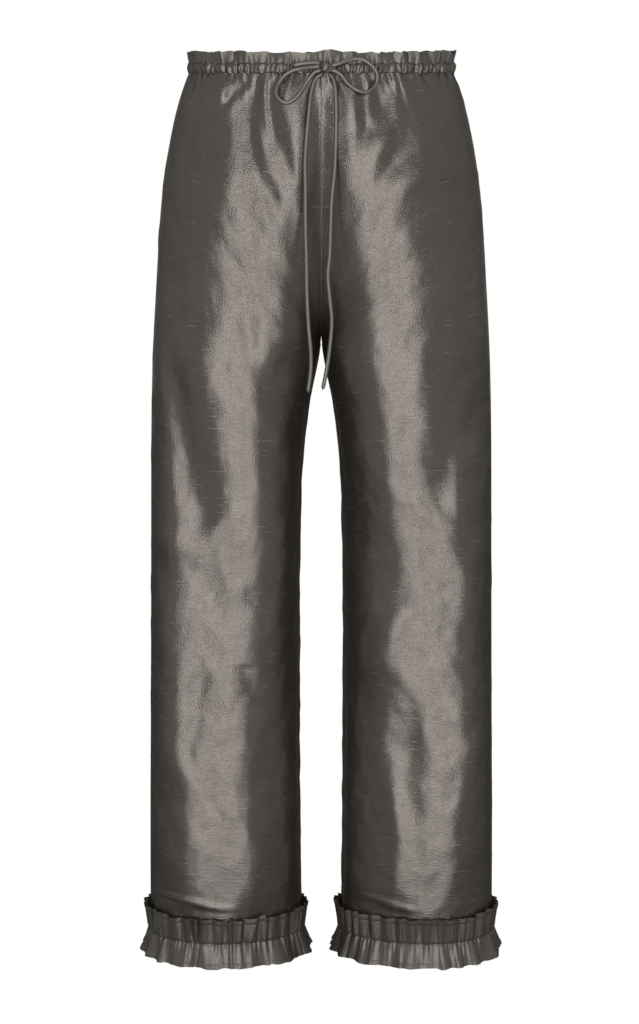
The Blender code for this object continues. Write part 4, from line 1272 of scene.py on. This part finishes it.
# colour, colour of the slubs, roughness, how light the slubs are, and the grain's height
SILKS = {
    "raw silk": ((0.27, 0.238, 0.218), (0.62, 0.58, 0.54), 0.19, 0.78, 0.45 * MM),
    "gathered silk": ((0.30, 0.272, 0.25), (0.50, 0.47, 0.43), 0.38, 0.5, 0.35 * MM),
    "rouleau silk": ((0.30, 0.274, 0.254), (0.45, 0.42, 0.38), 0.42, 0.3, 0.12 * MM),
}
panel_silk, ruffle_silk, cord_silk = (silk_material(name, *look) for name, look in SILKS.items())
thread_silk, tree, shader = new_material("sewing thread")
filled(tree, shader, {"Base Color": (0.085, 0.078, 0.07, 1), "Roughness": 0.6})

stitched = [piece for pieces in sewing.values() for piece in pieces]
seams = [p for p in stitched if "seam" in p.name]
finishes = (
    (panel_silk, [*panels.values(), *casings.values(), *seams]),
    (ruffle_silk, [*ruffles.values(), *frills.values()]),
    (cord_silk, [*cords.values(), core, turn_over]),
    (thread_silk, [p for p in stitched if "stitches" in p.name]),
)
for material, pieces in finishes:
    for piece in pieces:
        piece.data.materials.append(material)
print([(material.name, len(pieces)) for material, pieces in finishes])

# %% [markdown]
# ## What stands for what
#
# Every piece rides on the trousers' one body and stands for its plain solid. The cloth pieces also
# say how large they were cut, and the cords say how long they are, so that a later program can
# drape or hang them.

everything = [piece for _, pieces in finishes for piece in pieces]
for piece in everything:
    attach(piece, "root")
for name, piece in panels.items():
    side_word = name.split("_")[1]
    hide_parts(name)
for word, piece in casings.items():
    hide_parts(f"waist_casing_{word}")
for word, piece in frills.items():
    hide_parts(f"waist_frill_{word}")
for name, piece in ruffles.items():
    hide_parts(name)
    _, _, side_word, face_word = name.split("_")
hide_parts("drawstring_knot")
for word, piece in cords.items():
    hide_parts("drawstring_" + word)
    path = cord_paths[word]
print(len(everything), "pieces ride on the trousers")

# %% [markdown]
# ## Floor and light
#
# The silk shows what stands in front of it, so the main light is one tall panel behind the
# camera, as soft as a window, with a weak one overhead. It reaches low, because the legs below
# the knee mirror what lies near the floor. The room beside it stays dim, and that keeps the legs'
# sides dark. The floor and the room look white to the camera alone.

# %% Floor, light and world
FLOOR_Z = -1.03
FLOOR_NEAR_Y = -0.35


def white_to_camera(tree, seen, other):
    """Mixes two shaders: what the camera sees and what all other rays see."""
    camera_ray = added(tree, "LightPath", {}, "Is Camera Ray")
    return added(tree, "MixShader", {0: camera_ray, 1: other, 2: seen})


floor_mesh = bpy.data.meshes.new("floor")
across = ((-4, FLOOR_NEAR_Y), (4, FLOOR_NEAR_Y), (4, 5), (-4, 5))
floor_mesh.from_pydata([(x, y, FLOOR_Z) for x, y in across], [], [(0, 1, 2, 3)])
floor = bpy.data.objects.new("floor", floor_mesh)
bpy.context.scene.collection.objects.link(floor)
paper, tree, matt = new_material("pale floor")
filled(tree, matt, {"Base Color": (0.35, 0.35, 0.35, 1), "Roughness": 1.0})
glow = added(tree, "Emission", {"Color": (1, 1, 1, 1)})
surface = white_to_camera(tree, glow, matt.outputs[0])
filled(tree, tree.nodes["Material Output"], {"Surface": surface})
floor_mesh.materials.append(paper)

world = bpy.data.worlds.new("room")
bpy.context.scene.world = world
world.use_nodes = True
tree = world.node_tree
white = tree.nodes["Background"]
filled(tree, white, {"Color": (1, 1, 1, 1)})
room = added(tree, "Background", {"Color": (0.97, 1.0, 0.96, 1), "Strength": 0.25})
surface = white_to_camera(tree, white.outputs[0], room)
filled(tree, tree.nodes["World Output"], {"Surface": surface})


def light_panel(name, place, aim, width, height, radiance):
    """An area light of an even radiance. Its power is radiance times area times pi."""
    data = bpy.data.lights.new(name, "AREA")
    data.shape, data.size, data.size_y = "RECTANGLE", width, height
    data.energy = radiance * width * height * math.pi
    lamp = bpy.data.objects.new(name, data)
    lamp.location = place
    lamp.rotation_euler = (Vector(aim) - Vector(place)).to_track_quat("-Z", "Y").to_euler()
    lamp.visible_camera = False
    bpy.context.scene.collection.objects.link(lamp)


light_panel("front panel", (0, -3.5, -0.75), (0, 0, -0.75), width=2.1, height=4.6, radiance=1.27)
light_panel("top panel", (0, 0.3, 2.2), (0, 0, 0), width=1.6, height=1.6, radiance=0.5)
print("room and lights are set")

# %% [markdown]
# ## Camera
#
# The camera stands as high as the waist, three metres in front, and looks down a little, so the
# legs are seen slightly from above.

# %% Camera
CAMERA_PLACE = (-0.002, -3.1, 0)
CAMERA_TILT = 9.09
CAMERA_LENS = 98

camera_data = bpy.data.cameras.new("camera")
camera_data.sensor_width = 36
camera_data.lens = CAMERA_LENS
camera = bpy.data.objects.new("camera", camera_data)
camera.location = CAMERA_PLACE
camera.rotation_euler = (math.radians(90 - CAMERA_TILT), 0, 0)
bpy.context.scene.collection.objects.link(camera)
bpy.context.scene.camera = camera
bpy.context.scene.view_settings.view_transform = "Standard"
